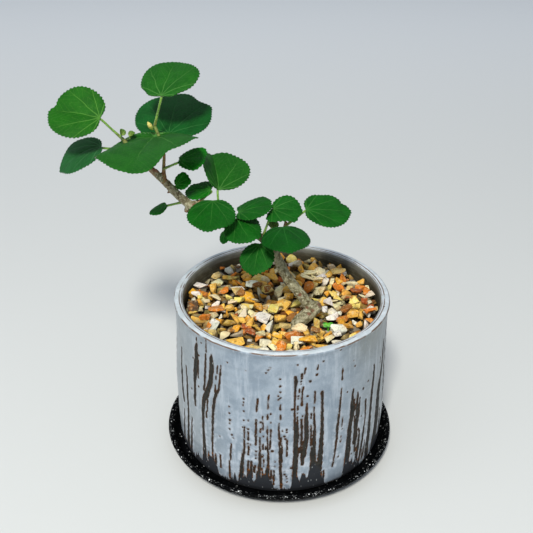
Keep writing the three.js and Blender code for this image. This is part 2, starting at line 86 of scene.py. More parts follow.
class Signal:
    """The output of a shader node, with arithmetic that adds Math or Vector Math nodes."""

    def __init__(self, graph: "Graph", socket: bpy.types.NodeSocket) -> None:
        """Wrap one output socket of a graph."""
        self.graph = graph
        self.socket = socket

    def _combine(self, operation: str, other: Any, swapped: bool = False) -> "Signal":
        """Add the node that combines this signal with another signal or a number.

        Args:
            operation: The Math or Vector Math operation.
            other: The other operand.
            swapped: Whether the other operand comes first.

        Returns:
            The result.
        """
        pair = (other, self) if swapped else (self, other)
        vectors = [item for item in pair if isinstance(item, Signal) and item.socket.type == "VECTOR"]
        if vectors:
            spread = [(item,) * 3 if isinstance(item, (int, float)) else item for item in pair]
            return self.graph.node("ShaderNodeVectorMath", {"operation": operation}, dict(enumerate(spread)))
        return self.graph.node("ShaderNodeMath", {"operation": operation}, dict(enumerate(pair)))

    def __add__(self, other: Any) -> "Signal":
        """Add a signal or number."""
        return self._combine("ADD", other)

    def __radd__(self, other: Any) -> "Signal":
        """Add this to a number."""
        return self._combine("ADD", other, True)

    def __sub__(self, other: Any) -> "Signal":
        """Subtract a signal or number."""
        return self._combine("SUBTRACT", other)

    def __rsub__(self, other: Any) -> "Signal":
        """Subtract this from a number."""
        return self._combine("SUBTRACT", other, True)

    def __mul__(self, other: Any) -> "Signal":
        """Multiply by a signal or number."""
        return self._combine("MULTIPLY", other)

    def __rmul__(self, other: Any) -> "Signal":
        """Multiply a number by this."""
        return self._combine("MULTIPLY", other, True)

    def __truediv__(self, other: Any) -> "Signal":
        """Divide by a signal or number."""
        return self._combine("DIVIDE", other)

    def __rtruediv__(self, other: Any) -> "Signal":
        """Divide a number by this."""
        return self._combine("DIVIDE", other, True)

    def __pow__(self, other: Any) -> "Signal":
        """Raise to a power."""
        return self._combine("POWER", other)

    def _alone(self, operation: str) -> "Signal":
        """Add a Math node that needs only this signal."""
        return self.graph.node("ShaderNodeMath", {"operation": operation}, {0: self})

    def __abs__(self) -> "Signal":
        """Give the size without the sign."""
        return self._alone("ABSOLUTE")

    def fraction(self) -> "Signal":
        """Give the part after the point."""
        return self._alone("FRACT")

    def largest(self, other: Any) -> "Signal":
        """Give the larger of this and another."""
        return self._combine("MAXIMUM", other)

    def smallest(self, other: Any) -> "Signal":
        """Give the smaller of this and another."""
        return self._combine("MINIMUM", other)

    def rise(self, low: float, high: float) -> "Signal":
        """Go softly from 0 at one value to 1 at another.

        Args:
            low: The value that gives 0.
            high: The value that gives 1.

        Returns:
            A share from 0 to 1.
        """
        if low > high:
            return 1 - self.rise(high, low)
        return self.graph.node(
            "ShaderNodeMapRange", {"interpolation_type": "SMOOTHSTEP"},
            {"Value": self, "From Min": low, "From Max": high})

    def part(self, axis: str) -> "Signal":
        """Give one coordinate of a vector, named X, Y or Z."""
        return self.graph.node("ShaderNodeSeparateXYZ", {}, {0: self}, axis)

    def stretched(self, x: float, y: float, z: float) -> "Signal":
        """Multiply a vector's coordinates, each by its own number."""
        return self.graph.node("ShaderNodeVectorMath", {"operation": "MULTIPLY"}, {0: self, 1: (x, y, z)})


class Graph:
    """The nodes of one material."""

    def __init__(self, name: str) -> None:
        """Start an empty material.

        Args:
            name: The material's name.
        """
        self.material = bpy.data.materials.new(name)
        self.material.use_nodes = True
        self.tree = self.material.node_tree
        self.tree.nodes.clear()
        self._place: Optional[Signal] = None

    def node(self, kind: str, settings: Optional[dict[str, Any]] = None,
             inputs: Optional[dict[Union[int, str], Any]] = None, output: Union[int, str] = 0) -> Signal:
        """Add a node, set it up and feed its sockets.

        Args:
            kind: The node's type.
            settings: Its settings, which are set first.
            inputs: Values or signals for its sockets, by number or name.
            output: The output to hand back, by number or name.

        Returns:
            The chosen output.
        """
        made = self.tree.nodes.new(kind)
        for name, value in (settings or {}).items():
            setattr(made, name, value)
        for key, value in (inputs or {}).items():
            self._feed(made.inputs[key], value)
        return Signal(self, made.outputs[output])

    def _feed(self, socket: bpy.types.NodeSocket, value: Any) -> None:
        """Link a signal to a socket, or set the socket's own value.

        Args:
            socket: The input socket.
            value: A signal, or the socket's own value.
        """
        if isinstance(value, Signal):
            self.tree.links.new(value.socket, socket)
        else:
            socket.default_value = value

    def place(self) -> Signal:
        """Give the point on the surface, in millimetres.

        Returns:
            The point, from the same node each time.
        """
        if self._place is None:
            spot = self.node("ShaderNodeTexCoord", output="Object")
            self._place = self.node("ShaderNodeVectorMath", {"operation": "SCALE"},
                                    {0: spot, "Scale": 1 / MM})
        return self._place

    def noise(self, grain: float, detail: float = 3, roughness: float = 0.5,
              at: Optional[Signal] = None) -> Signal:
        """Add noise that lies about 0.5.

        Args:
            grain: The size of its largest features, in mm.
            detail: How many finer layers it has.
            roughness: How strong those layers are.
            at: Where it is read; the place on the surface if left out.

        Returns:
            A share from 0 to 1.
        """
        return self.node("ShaderNodeTexNoise", {}, {
            "Vector": at or self.place(), "Scale": 1 / grain, "Detail": detail,
            "Roughness": roughness}, "Fac")

    def cells(self, size: float, feature: str = "F1", at: Optional[Signal] = None) -> Signal:
        """Add cells that lie scattered over the surface.

        Args:
            size: The size of a cell, in mm.
            feature: What is measured in a cell.
            at: Where they are read; the place on the surface if left out.

        Returns:
            The distance that the feature names.
        """
        return self.node("ShaderNodeTexVoronoi", {"feature": feature}, {
            "Vector": at or self.place(), "Scale": 1 / size}, "Distance")

    def value(self, name: str) -> Signal:
        """Read a number kept at the mesh's points."""
        return self.node("ShaderNodeAttribute", {"attribute_name": name}, output="Fac")

    def vector(self, name: str) -> Signal:
        """Read a vector kept at the mesh's points."""
        return self.node("ShaderNodeAttribute", {"attribute_name": name}, output="Vector")

    def colour(self, name: str) -> Signal:
        """Read a colour kept at the mesh's points."""
        return self.node("ShaderNodeAttribute", {"attribute_name": name}, output="Color")

    def mix(self, share: Any, first: Any, second: Any) -> Signal:
        """Mix two colours.

        Args:
            share: How much of the second shows.
            first: The first colour.
            second: The second colour.

        Returns:
            The mixed colour.
        """
        return self.node("ShaderNodeMix", {"data_type": "RGBA"}, {0: share, 6: first, 7: second}, 2)

    def bump(self, height: Signal, depth: float, strength: float = 1) -> Signal:
        """Add relief.

        Args:
            height: The relief, 0 to 1.
            depth: How many mm it stands for.
            strength: How strongly it shows.

        Returns:
            The bent normal.
        """
        inputs = {"Height": height, "Distance": depth * MM, "Strength": strength}
        return self.node("ShaderNodeBump", {}, inputs)

    def surface(self, **sockets: Any) -> bpy.types.Material:
        """Close the graph with a Principled shader.

        Args:
            **sockets: Values or signals for its sockets, with _ for a space.

        Returns:
            The finished material.
        """
        inputs = {name.replace("_", " "): value for name, value in sockets.items()}
        shader = self.node("ShaderNodeBsdfPrincipled", {}, inputs, "BSDF")
        end = self.tree.nodes.new("ShaderNodeOutputMaterial")
        self._feed(end.inputs["Surface"], shader)
        return self.material


# Meshes

@dataclass
class Shell:
    """A mesh in the making, in millimetres, with values kept at its points."""

    points: np.ndarray
    faces: list[Sequence[int]]
    slots: list[int] = field(default_factory=list)
    values: dict[str, np.ndarray] = field(default_factory=dict)

    @staticmethod
    def joined(shells: Sequence["Shell"]) -> "Shell":
        """Put several shells into one.

        Args:
            shells: The shells, all with the same values.

        Returns:
            One shell that holds them all.
        """
        starts = np.cumsum([0] + [len(shell.points) for shell in shells[:-1]])
        faces = [tuple(corner + int(start) for corner in face)
                 for shell, start in zip(shells, starts) for face in shell.faces]
        slots = [slot for shell in shells for slot in (shell.slots or [0] * len(shell.faces))]
        names = shells[0].values.keys()
        values = {name: np.concatenate([shell.values[name] for shell in shells]) for name in names}
        return Shell(np.concatenate([shell.points for shell in shells]), faces, slots, values)

    def to_mesh(self, name: str, unit: float = MM) -> bpy.types.Mesh:
        """Make a Blender mesh.

        Args:
            name: The mesh's name.
            unit: How long one of the shell's units is in metres.

        Returns:
            The mesh, with its values as attributes.
        """
        mesh = bpy.data.meshes.new(name)
        mesh.from_pydata((self.points * unit).tolist(), [], self.faces)
        if self.slots:
            mesh.polygons.foreach_set("material_index", self.slots)
        for label, numbers in self.values.items():
            self._keep(mesh, label, np.asarray(numbers, dtype=np.float32))
        mesh.validate()
        mesh.update()
        return mesh

    @staticmethod
    def _keep(mesh: bpy.types.Mesh, label: str, numbers: np.ndarray) -> None:
        """Keep numbers, vectors or colours as an attribute of a mesh's points.

        Args:
            mesh: The mesh, which is changed.
            label: The attribute's name.
            numbers: One number, vector or colour for each point.
        """
        width = 1 if numbers.ndim == 1 else numbers.shape[1]
        kind, key = {1: ("FLOAT", "value"), 3: ("FLOAT_VECTOR", "vector"), 4: ("FLOAT_COLOR", "color")}[width]
        mesh.attributes.new(label, kind, "POINT").data.foreach_set(key, numbers.ravel())

    def to_object(self, name: str, materials: Sequence[bpy.types.Material]) -> bpy.types.Object:
        """Make a smoothly shaded object at the origin.

        Args:
            name: The object's name.
            materials: Its materials, in the order of the slots.

        Returns:
            The object, linked to the scene.
        """
        mesh = self.to_mesh(name)
        mesh.polygons.foreach_set("use_smooth", [True] * len(mesh.polygons))
        for material in materials:
            mesh.materials.append(material)
        made = bpy.data.objects.new(name, mesh)
        bpy.context.scene.collection.objects.link(made)
        return made


def fitted(piece: bpy.types.Object, slot: str, *nodes: str) -> bpy.types.Object:
    """Let a piece ride on the object's body and stand for CAD nodes.

    Args:
        piece: The new piece.
        slot: The record's material slot; not used.
        *nodes: The CAD nodes that it replaces.

    Returns:
        The same piece.
    """
    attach(piece, "root")
    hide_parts(*nodes)
    LOG.info("%s stands for %s, %d faces", piece.name, ", ".join(nodes), len(piece.data.polygons))
    return piece


def softened(profile: Sequence[tuple[float, float]], reach: float, steps: int) -> np.ndarray:
    """Round the corners of a profile.

    Args:
        profile: Its corners.
        reach: How far from a corner the rounding starts.
        steps: How many points a rounding has.

    Returns:
        The rounded profile as rows of two numbers.
    """
    corners = np.array(profile, dtype=float)
    rounded = [corners[0]]
    for before, corner, after in zip(corners, corners[1:], corners[2:]):
        start = corner + (before - corner) * min(0.5, reach / np.linalg.norm(before - corner))
        end = corner + (after - corner) * min(0.5, reach / np.linalg.norm(after - corner))
        for share in np.linspace(0, 1, steps):
            rounded.append((1 - share) ** 2 * start + 2 * share * (1 - share) * corner + share ** 2 * end)
    rounded.append(corners[-1])
    return np.array(rounded)


def closer(profile: np.ndarray, pitch: float) -> np.ndarray:
    """Add points to a profile, so that none lie farther apart than the pitch.

    Args:
        profile: The profile's points.
        pitch: The greatest distance between two points.

    Returns:
        The profile with the added points.
    """
    dense = [profile[0]]
    for before, after in zip(profile, profile[1:]):
        steps = max(1, math.ceil(np.linalg.norm(after - before) / pitch))
        dense.extend(before + (after - before) * step / steps for step in range(1, steps + 1))
    kept = [dense[0]]
    for point in dense[1:]:
        if np.linalg.norm(point - kept[-1]) > 1e-3:
            kept.append(point)
    return np.array(kept)


def turned(profile: np.ndarray, sides: int, closed: bool = False) -> Shell:
    """Turn a profile about the Z axis.

    Args:
        profile: Its rows of radius and height, from the inside of the underside outwards and up.
        sides: How many sides the turned body has.
        closed: Whether the last row joins the first.

    Returns:
        The shell.
    """
    angles = np.linspace(0, 2 * np.pi, sides, endpoint=False)
    points: list[np.ndarray] = []
    rows: list[list[int]] = []
    for radius, height in profile:
        start = len(points)
        if radius < 1e-6:
            points.append(np.array([0, 0, height]))
            rows.append([start] * sides)
            continue
        ring = np.stack([radius * np.cos(angles), radius * np.sin(angles), np.full(sides, height)], axis=1)
        points.extend(ring)
        rows.append(list(range(start, start + sides)))
    faces = []
    pairs = list(zip(rows, rows[1:])) + ([(rows[-1], rows[0])] if closed else [])
    for lower, upper in pairs:
        for here in range(sides):
            ahead = (here + 1) % sides
            corners = [lower[here], lower[ahead], upper[ahead], upper[here]]
            face = list(dict.fromkeys(corners))
            if len(face) > 2:
                faces.append(tuple(face))
    return Shell(np.array(points), faces)


def waves(points: np.ndarray, size: float, seed: int, layers: int = 3) -> np.ndarray:
    """Give a gentle, repeatable swell at each point, from about -1 to 1.

    Args:
        points: The points.
        size: The length of its longest waves, in mm.
        seed: What picks the waves.
        layers: How many sets of shorter waves lie on the longest ones.

    Returns:
        One number for each point.
    """
    chance = np.random.default_rng(seed)
    total = np.zeros(len(points))
    for layer in range(layers):
        for _ in range(6):
            way = chance.normal(size=3)
            way *= 2 * np.pi * 1.7 ** layer / size / np.linalg.norm(way)
            total += np.sin(points @ way + chance.uniform(0, 2 * np.pi)) / 1.7 ** layer
    return total / 6


def smooth_line(points: Sequence[Point], count: int) -> np.ndarray:
    """Draw a smooth line through points, as the CAD source does.

    Args:
        points: The points that it goes through.
        count: How many points the line gets.

    Returns:
        The line's points.
    """
    given = np.array(points, dtype=float)
    ends = [2 * given[0] - given[1], 2 * given[-1] - given[-2]]
    padded = np.vstack([ends[0], given, ends[1]])
    line = []
    for share in np.linspace(0, len(given) - 1, count):
        index = min(int(share), len(given) - 2)
        before, here, ahead, after = padded[index:index + 4]
        pairs = ((before, here), (here, ahead), (ahead, after))
        gaps = [max(np.linalg.norm(end - start) ** 0.5, 1e-4) for start, end in pairs]
        leave = (here - before) / gaps[0] - (ahead - before) / (gaps[0] + gaps[1]) + (ahead - here) / gaps[1]
        arrive = (ahead - here) / gaps[1] - (after - here) / (gaps[1] + gaps[2]) + (after - ahead) / gaps[2]
        leave, arrive, part = leave * gaps[1], arrive * gaps[1], share - index
        line.append(here + leave * part + (3 * (ahead - here) - 2 * leave - arrive) * part ** 2
                    + (2 * (here - ahead) + leave + arrive) * part ** 3)
    return np.array(line)


def tube(line: np.ndarray, radii: np.ndarray, sides: int) -> Shell:
    """Make a closed round tube along a line.

    Args:
        line: The points of its middle.
        radii: Its radius at each point.
        sides: How many sides it has.

    Returns:
        The shell.
    """
    along = np.gradient(line, axis=0)
    along /= np.linalg.norm(along, axis=1, keepdims=True)
    across = np.array([0.0, 1.0, 0.0])
    turns = np.linspace(0, 2 * np.pi, sides, endpoint=False)
    rings = []
    for centre, way, radius in zip(line, along, radii):
        across = across - way * (across @ way)
        across /= np.linalg.norm(across)
        beside = np.cross(way, across)
        rings.append(centre + radius * (np.outer(np.cos(turns), across) + np.outer(np.sin(turns), beside)))
    points = np.vstack(rings + [line[:1], line[-1:]])
    first, last = len(points) - 2, len(points) - 1
    faces: list[Sequence[int]] = []
    for side in range(sides):
        ahead = (side + 1) % sides
        faces.append((first, ahead, side))
        for row in range(0, (len(line) - 1) * sides, sides):
            faces.append((row + side, row + ahead, row + sides + ahead, row + sides + side))
        end = (len(line) - 1) * sides
        faces.append((end + side, end + ahead, last))
    return Shell(points, faces)


# Finishes

class Finish:
    """A finish that makes its own material."""

    def material(self) -> bpy.types.Material:
        """Make the material."""
        raise NotImplementedError


@dataclass(frozen=True)
class SpeckledBlack(Finish):
    """The saucer's black glaze, full of small white speckles."""

    ground: Colour = srgb(2, 3, 4)
    worn: Colour = srgb(8, 9, 11)
    fleck: Colour = srgb(222, 226, 226)

    def material(self) -> bpy.types.Material:
        """Make the material.

        Returns:
            The finished material.
        """
        graph = Graph("saucer_speckled_black")
        clouds = graph.noise(9, 4, 0.6)
        rim = graph.value("rim")
        # White flecks gather on the rim: partly the glaze's own speckles, partly painted glints along the lit
        # edge of the lip.
        patch = graph.noise(5, 2).rise(0.46, 0.58)
        fine = graph.cells(1.3).rise(0.26, 0.14) * patch
        coarse = graph.cells(3.4).rise(0.15, 0.1)
        dust = graph.cells(0.8).rise(0.3, 0.14) * graph.noise(2.6, 2).rise(0.46, 0.58) * rim
        flecks = (fine * (0.1 + rim * 0.75)).largest(coarse * (0.5 + rim * 0.5)).largest(dust * 0.55)
        ground = graph.mix(clouds.rise(0.4, 0.7), self.ground, self.worn)
        relief = graph.bump(flecks + graph.noise(0.8, 3) * 0.5, 0.05, 0.6)
        return graph.surface(Base_Color=graph.mix(flecks, ground, self.fleck),
                             Roughness=0.5 + clouds * 0.2 + flecks * 0.2,
                             Specular_IOR_Level=0.03, Normal=relief)


@dataclass(frozen=True)
class StreakedGlaze(Finish):
    """The pot's cloudy pale blue glaze, which has crawled off the dark clay in upright streaks."""

    pale: Colour = srgb(145, 158, 171)
    cloudy: Colour = srgb(125, 139, 153)
    milky: Colour = srgb(184, 194, 205)
    stain: Colour = srgb(108, 114, 110)
    ashen: Colour = srgb(144, 148, 144)
    clay: Colour = srgb(50, 48, 42)
    soot: Colour = srgb(27, 27, 25)
    slate: Colour = srgb(40, 44, 51)
    rust: Colour = srgb(62, 34, 4)
    umber: Colour = srgb(32, 22, 6)
    amber: Colour = srgb(132, 78, 22)
    fringe: Colour = srgb(108, 84, 56)
    inner: Colour = srgb(70, 65, 49)
    inner_pale: Colour = srgb(104, 100, 82)
    lip: Colour = srgb(186, 196, 202)
    lip_pale: Colour = srgb(206, 215, 222)
    break_brown: Colour = srgb(92, 64, 38)
    fleck: Colour = srgb(172, 178, 178)

    def material(self) -> bpy.types.Material:
        """Make the material.

        Returns:
            The finished material.
        """
        graph = Graph("pot_streaked_glaze")
        upright = graph.place().stretched(1, 1, 0.28)
        opened = self._opened(graph)
        clay = opened.rise(-0.02, 0.14)
        inside = graph.value("inside").rise(0.1, 0.9)
        lip = graph.value("lip").rise(0.2, 0.8)
        glaze = graph.mix(inside, self._glaze(graph, upright, opened), self._inner_wall(graph))
        mottle = graph.mix(graph.noise(4.5, 3, 0.6).rise(0.36, 0.66), self.lip, self.lip_pale)
        glaze = graph.mix(lip * 0.9, glaze, mottle)
        halo = opened.rise(-0.4, 0.02) * (1 - clay)
        glaze = graph.mix(halo * (0.1 + 0.7 * graph.noise(1.1, 2)), glaze, self.fringe)
        glaze = graph.mix(self._break_lines(graph) * 0.9, glaze, self.break_brown)
        grain = graph.noise(0.55, 3, 0.7) * 0.3
        raised = (1 - opened.rise(-0.45, 0.15)) + grain * clay + graph.noise(12, 2) * 0.5
        relief = graph.bump(raised, 0.3, 0.8)
        return graph.surface(Base_Color=graph.mix(clay, glaze, self._clay(graph, opened, upright)),
                             Roughness=0.34 + clay * 0.38 + inside * 0.25 + graph.noise(5, 2) * 0.12,
                             Specular_IOR_Level=0.26,
                             Coat_Weight=0.2 * (1 - clay) * (1 - inside), Coat_Roughness=0.16, Normal=relief)

    def _opened(self, graph: Graph) -> Signal:
        """Give how deep a point lies in bare clay, in mm, with ragged and broken edges.

        Args:
            graph: The material's nodes.

        Returns:
            The depth in mm, negative outside the clay.
        """
        ragged = graph.noise(1.2, 4, 0.66, at=graph.place().stretched(1, 1, 0.45)) - 0.5
        bridges = graph.noise(2.4, 3, 0.6) - 0.5
        streak = graph.value("streak") + ragged * 1.35 + bridges * 0.6 + 0.05
        spikes = graph.noise(1.5, 4, 0.65, at=graph.place().stretched(1, 1, 0.12)) - 0.5
        bare = graph.value("bare_foot") + spikes * 12
        pins = (0.085 - graph.cells(6.5)) * 8 - (1 - graph.noise(17, 2).rise(0.5, 0.56)) * 2
        return streak.largest(bare.smallest(1.6)).largest(pins)

    def _clay(self, graph: Graph, opened: Signal, upright: Signal) -> Signal:
        """Give the bare clay: rust where it meets the glaze, charcoal further in, with scraps of glaze.

        Args:
            graph: The material's nodes.
            opened: How deep a point lies in the clay.
            upright: The place, squeezed so that what is read there is drawn out upwards.

        Returns:
            The clay's colour.
        """
        deep = (opened + (graph.noise(1.8, 3, 0.6) - 0.5) * 0.9).rise(0.22, 0.7)
        core = graph.mix(graph.noise(2.6, 4, 0.7).rise(0.3, 0.72), self.soot, self.clay)
        core = graph.mix(graph.value("bare_foot").rise(-3, 2) * 0.8, core, self.slate)
        edge = graph.mix(graph.noise(2.5, 3).rise(0.35, 0.7), self.rust, self.umber)
        scraps = graph.cells(1.2, at=upright).rise(0.22, 0.12) * graph.noise(5, 2).rise(0.5, 0.62)
        foot = graph.value("bare_foot").rise(-9, -4) * graph.noise(1.7, 3, 0.6).rise(0.5, 0.62)
        edge = graph.mix(foot * 0.8, edge, self.amber)
        return graph.mix(scraps * 0.8, graph.mix(deep, edge, core), self.fleck)

    def _glaze(self, graph: Graph, upright: Signal, opened: Signal) -> Signal:
        """Give the glaze its clouds, its milky runs, the paler rim of its openings and a greyer painted shade
        on its left and right sides.

        Args:
            graph: The material's nodes.
            upright: The place, squeezed so that what is read there is drawn out upwards.
            opened: How deep a point lies in bare clay.

        Returns:
            The glaze's colour.
        """
        clouds = graph.noise(11, 4, 0.6)
        glaze = graph.mix(clouds.rise(0.36, 0.64), self.cloudy, self.pale)
        stain = graph.value("stain") * (0.4 + graph.noise(8, 3, 0.6))
        glaze = graph.mix(stain * 0.8, glaze, self.stain)
        # Painted shade: the glaze turns greyer towards its left and right sides as seen from the front.
        glaze = graph.mix(abs(graph.place().part("X")).rise(22, 60) * 0.5, glaze, self.ashen)
        runs = graph.noise(3.2, 4, 0.6, at=graph.place().stretched(1, 1, 0.12))
        glaze = graph.mix(runs.rise(0.5, 0.7) * 0.4, glaze, self.milky)
        low = graph.place().part("Z").rise(70, 20)
        crawled = opened.rise(-2.8, -1.0) * graph.noise(4.5, 3, 0.6).rise(0.42, 0.6)
        glaze = graph.mix(crawled * (0.15 + low * 0.6), glaze, self.milky)
        veil = graph.noise(1.6, 3, 0.6, at=upright).rise(0.54, 0.74) * 0.35
        glaze = graph.mix(veil, glaze, self.cloudy)
        grain = graph.noise(0.9, 3, 0.7)
        glaze = graph.mix(grain.rise(0.44, 0.3) * 0.22, glaze, self.stain)
        return graph.mix(grain.rise(0.58, 0.72) * 0.25, glaze, self.milky)

    def _inner_wall(self, graph: Graph) -> Signal:
        """Give the thin, dark olive-grey glaze inside the rim, with faint turning rings.

        Args:
            graph: The material's nodes.

        Returns:
            The inner wall's colour.
        """
        rings = graph.noise(1.1, 3, 0.6, at=graph.place().stretched(0.06, 0.06, 1))
        stain = graph.noise(4, 4, 0.6) * 0.5 + rings * 0.5
        high = (graph.place().part("Z") + rings * 4).rise(93.5, 98) * 0.4
        return graph.mix(high, graph.mix(stain.rise(0.44, 0.68), self.inner, self.inner_pale), self.ashen)

    @staticmethod
    def _break_lines(graph: Graph) -> Signal:
        """Give the thin brown lines where the glaze breaks over the lip's edges.

        Args:
            graph: The material's nodes.

        Returns:
            How strongly the lines show, 0 to 1.
        """
        waver = (graph.noise(5, 3) - 0.5) * 0.5
        line = abs(graph.value("break_line") + waver)
        return line.rise(0.44, 0.18) * graph.noise(9, 2).rise(0.34, 0.52)


@dataclass(frozen=True)
class DrainPlastic(Finish):
    """The dull black plastic of the drain mesh."""

    dark: Colour = srgb(30, 30, 29)
    dusty: Colour = srgb(72, 68, 58)

    def material(self) -> bpy.types.Material:
        """Make the material.

        Returns:
            The finished material.
        """
        graph = Graph("drain_mesh_plastic")
        dust = graph.noise(3, 4, 0.6).rise(0.45, 0.7)
        weave = graph.cells(0.9, "DISTANCE_TO_EDGE")
        return graph.surface(Base_Color=graph.mix(dust, self.dark, self.dusty), Roughness=0.5 + dust * 0.3,
                             Normal=graph.bump(weave, 0.1, 0.6))


@dataclass(frozen=True)
class BrokenStone(Finish):
    """Crushed, weathered stone: each chip keeps its own tint, and is painted darker on its lower parts as
    shade in the gaps.
    """

    stain: Colour = srgb(208, 128, 28)
    dust: Colour = srgb(244, 232, 190)
    shadow: Colour = srgb(96, 62, 20)
    damp: Colour = srgb(52, 32, 8)
    top: float = GRIT_LEVEL

    def material(self) -> bpy.types.Material:
        """Make the material.

        Returns:
            The finished material.
        """
        graph = Graph("grit_broken_stone")
        tint = graph.colour("tint")
        wear = graph.value("wear")
        patches = graph.noise(3.4, 4, 0.65)
        colour = graph.mix(patches.rise(0.48, 0.66) * 0.6 * wear, tint, self.stain)
        colour = graph.mix(graph.noise(1.9, 4, 0.65).rise(0.5, 0.68) * (0.65 - wear * 0.4), colour, self.dust)
        hollows = graph.noise(2.3, 4, 0.7).rise(0.44, 0.3)
        colour = graph.mix(hollows * 0.55, colour, self.shadow)
        pits = graph.cells(0.75).rise(0.3, 0.12) * graph.noise(2, 2).rise(0.46, 0.6)
        colour = graph.mix(pits * 0.65, colour, self.shadow)
        grain = graph.noise(0.45, 4, 0.7)
        colour = graph.mix(grain.rise(0.56, 0.3) * 0.2, colour, self.shadow)
        colour = graph.mix(0.06, colour, self.shadow)
        # Painted shade: the chips darken below the grit's top, towards the gaps between them.
        deep = (graph.place().part("Z") + patches * 1.2).rise(self.top + 0.3, self.top - 2.2)
        colour = graph.mix(deep * 0.75, colour, self.damp)
        relief = graph.bump(grain * 0.5 + graph.noise(1.5, 3) * 1.2 - pits * 0.6 - hollows * 0.7, 0.5, 0.85)
        return graph.surface(Base_Color=colour, Roughness=0.7 + grain * 0.22, Normal=relief)


@dataclass(frozen=True)
class Bark(Finish):
    """Young grey-olive bark with red-brown pores, scars and rings; thin twigs are redder and greener."""

    grey: Colour = srgb(148, 144, 114)
    pale: Colour = srgb(194, 190, 160)
    olive: Colour = srgb(98, 92, 62)
    umber: Colour = srgb(84, 56, 36)
    twig: Colour = srgb(134, 84, 44)
    green: Colour = srgb(112, 132, 60)
    bleached: Colour = srgb(176, 170, 144)

    def material(self) -> bpy.types.Material:
        """Make the material.

        Returns:
            The finished material.
        """
        graph = Graph("trunk_bark")
        youth = graph.value("youth")
        scar = graph.value("scar")
        mottle = graph.noise(2.4, 5, 0.66)
        colour = graph.mix(mottle.rise(0.38, 0.58), self.olive, self.grey)
        colour = graph.mix(graph.noise(1.2, 4, 0.6).rise(0.52, 0.66) * 0.8, colour, self.pale)
        colour = graph.mix(graph.noise(0.9, 4, 0.7).rise(0.44, 0.32) * 0.55, colour, self.umber)
        shoot = graph.mix((youth + graph.noise(4, 3) * 0.3).rise(1.0, 1.12), self.twig, self.green)
        colour = graph.mix(youth.rise(0.5, 0.95), colour, shoot)
        colour = graph.mix(graph.value("old") * mottle.rise(0.4, 0.7) * 0.6, colour, self.bleached)
        pores = graph.cells(1.55, at=graph.place().stretched(1, 1, 0.8))
        pore = pores.rise(0.27, 0.14) * graph.noise(3, 2).rise(0.42, 0.56)
        colour = graph.mix(pore * 0.85, colour, self.umber)
        cracks = graph.cells(1.1, "DISTANCE_TO_EDGE", at=graph.place().stretched(1, 1, 0.45)).rise(0.09, 0.0)
        cracks = cracks * graph.noise(2.2, 3).rise(0.5, 0.66) * (1 - youth)
        colour = graph.mix(cracks * 0.6, colour, self.umber)
        rough = graph.noise(0.7, 4, 0.7)
        torn = (scar + (rough - 0.5) * 0.9).rise(0.35, 0.75)
        colour = graph.mix(torn * 0.8, colour, graph.mix(rough, self.umber, srgb(134, 74, 48)))
        height = mottle * 0.8 + rough * 0.4 + pore * 0.5 - cracks * 0.8
        return graph.surface(Base_Color=colour, Roughness=0.82 - youth * 0.25,
                             Normal=graph.bump(height, 0.5, 0.85))


class LeafTone(Enum):
    """The green of a blade: the lit colour, the darker colour between the veins, and the veins. Apart from
    YOUNG, the tones differ mainly as painted light and shade, each made lighter or darker to suit how much
    light falls on the leaves that wear it.
    """

    BRIGHT = (srgb(25, 93, 8), srgb(16, 78, 5), srgb(84, 138, 54))
    FRESH = (srgb(26, 92, 18), srgb(16, 77, 12), srgb(76, 130, 58))
    LUSH = (srgb(12, 88, 14), srgb(6, 72, 8), srgb(58, 118, 46))
    SHADY = (srgb(6, 80, 12), srgb(3, 64, 8), srgb(42, 108, 42))
    # Painted light: a brighter, more saturated green for leaves in shade, standing for light that shines
    # through them.
    DEEP = (srgb(14, 110, 14), srgb(6, 92, 8), srgb(66, 140, 52))
    DIM = (srgb(13, 84, 28), srgb(6, 66, 18), srgb(52, 112, 54))
    DUSK = (srgb(31, 92, 44), srgb(22, 78, 32), srgb(70, 124, 76))
    YOUNG = (srgb(84, 120, 36), srgb(56, 92, 26), srgb(140, 162, 84))


@dataclass(frozen=True)
class BladeTop(Finish):
    """The upper face of a blade: veins that fan out from the joint and the fine net between them."""

    tone: LeafTone
    radius: float

    def material(self) -> bpy.types.Material:
        """Make the material.

        Returns:
            The finished material.
        """
        lit, deep, vein = self.tone.value
        graph = Graph(f"blade_top_{self.tone.name.lower()}_{self.radius:.0f}")
        lines, fine, net, warp = vein_lines(graph, self.radius)
        patches = graph.noise(7, 3, 0.55).rise(0.34, 0.66)
        colour = graph.mix(patches * 0.75, deep, lit)
        cushions = net.rise(0.02, 0.22)
        colour = graph.mix((1 - cushions) * 0.25, colour, lit)
        mottle = graph.noise(0.9, 3, 0.65)
        colour = graph.mix(mottle.rise(0.46, 0.32) * 0.3, colour, deep)
        colour = graph.mix(mottle.rise(0.56, 0.7) * 0.16, colour, vein)
        colour = graph.mix(fine * 0.3, colour, vein)
        colour = graph.mix(lines * 0.6, colour, vein)
        flecks = graph.cells(2.4).rise(0.14, 0.06) * graph.noise(6, 2).rise(0.5, 0.62)
        colour = graph.mix(flecks * 0.25, colour, vein)
        height = cushions * 0.5 - fine * 0.45 - lines * 0.7 + graph.noise(0.35, 2) * 0.2 + warp * 0.2
        relief = graph.bump(height, 0.2, 0.65)
        return graph.surface(Base_Color=colour, Roughness=0.5 + graph.noise(2, 2) * 0.12,
                             Specular_IOR_Level=0.13, Normal=relief)


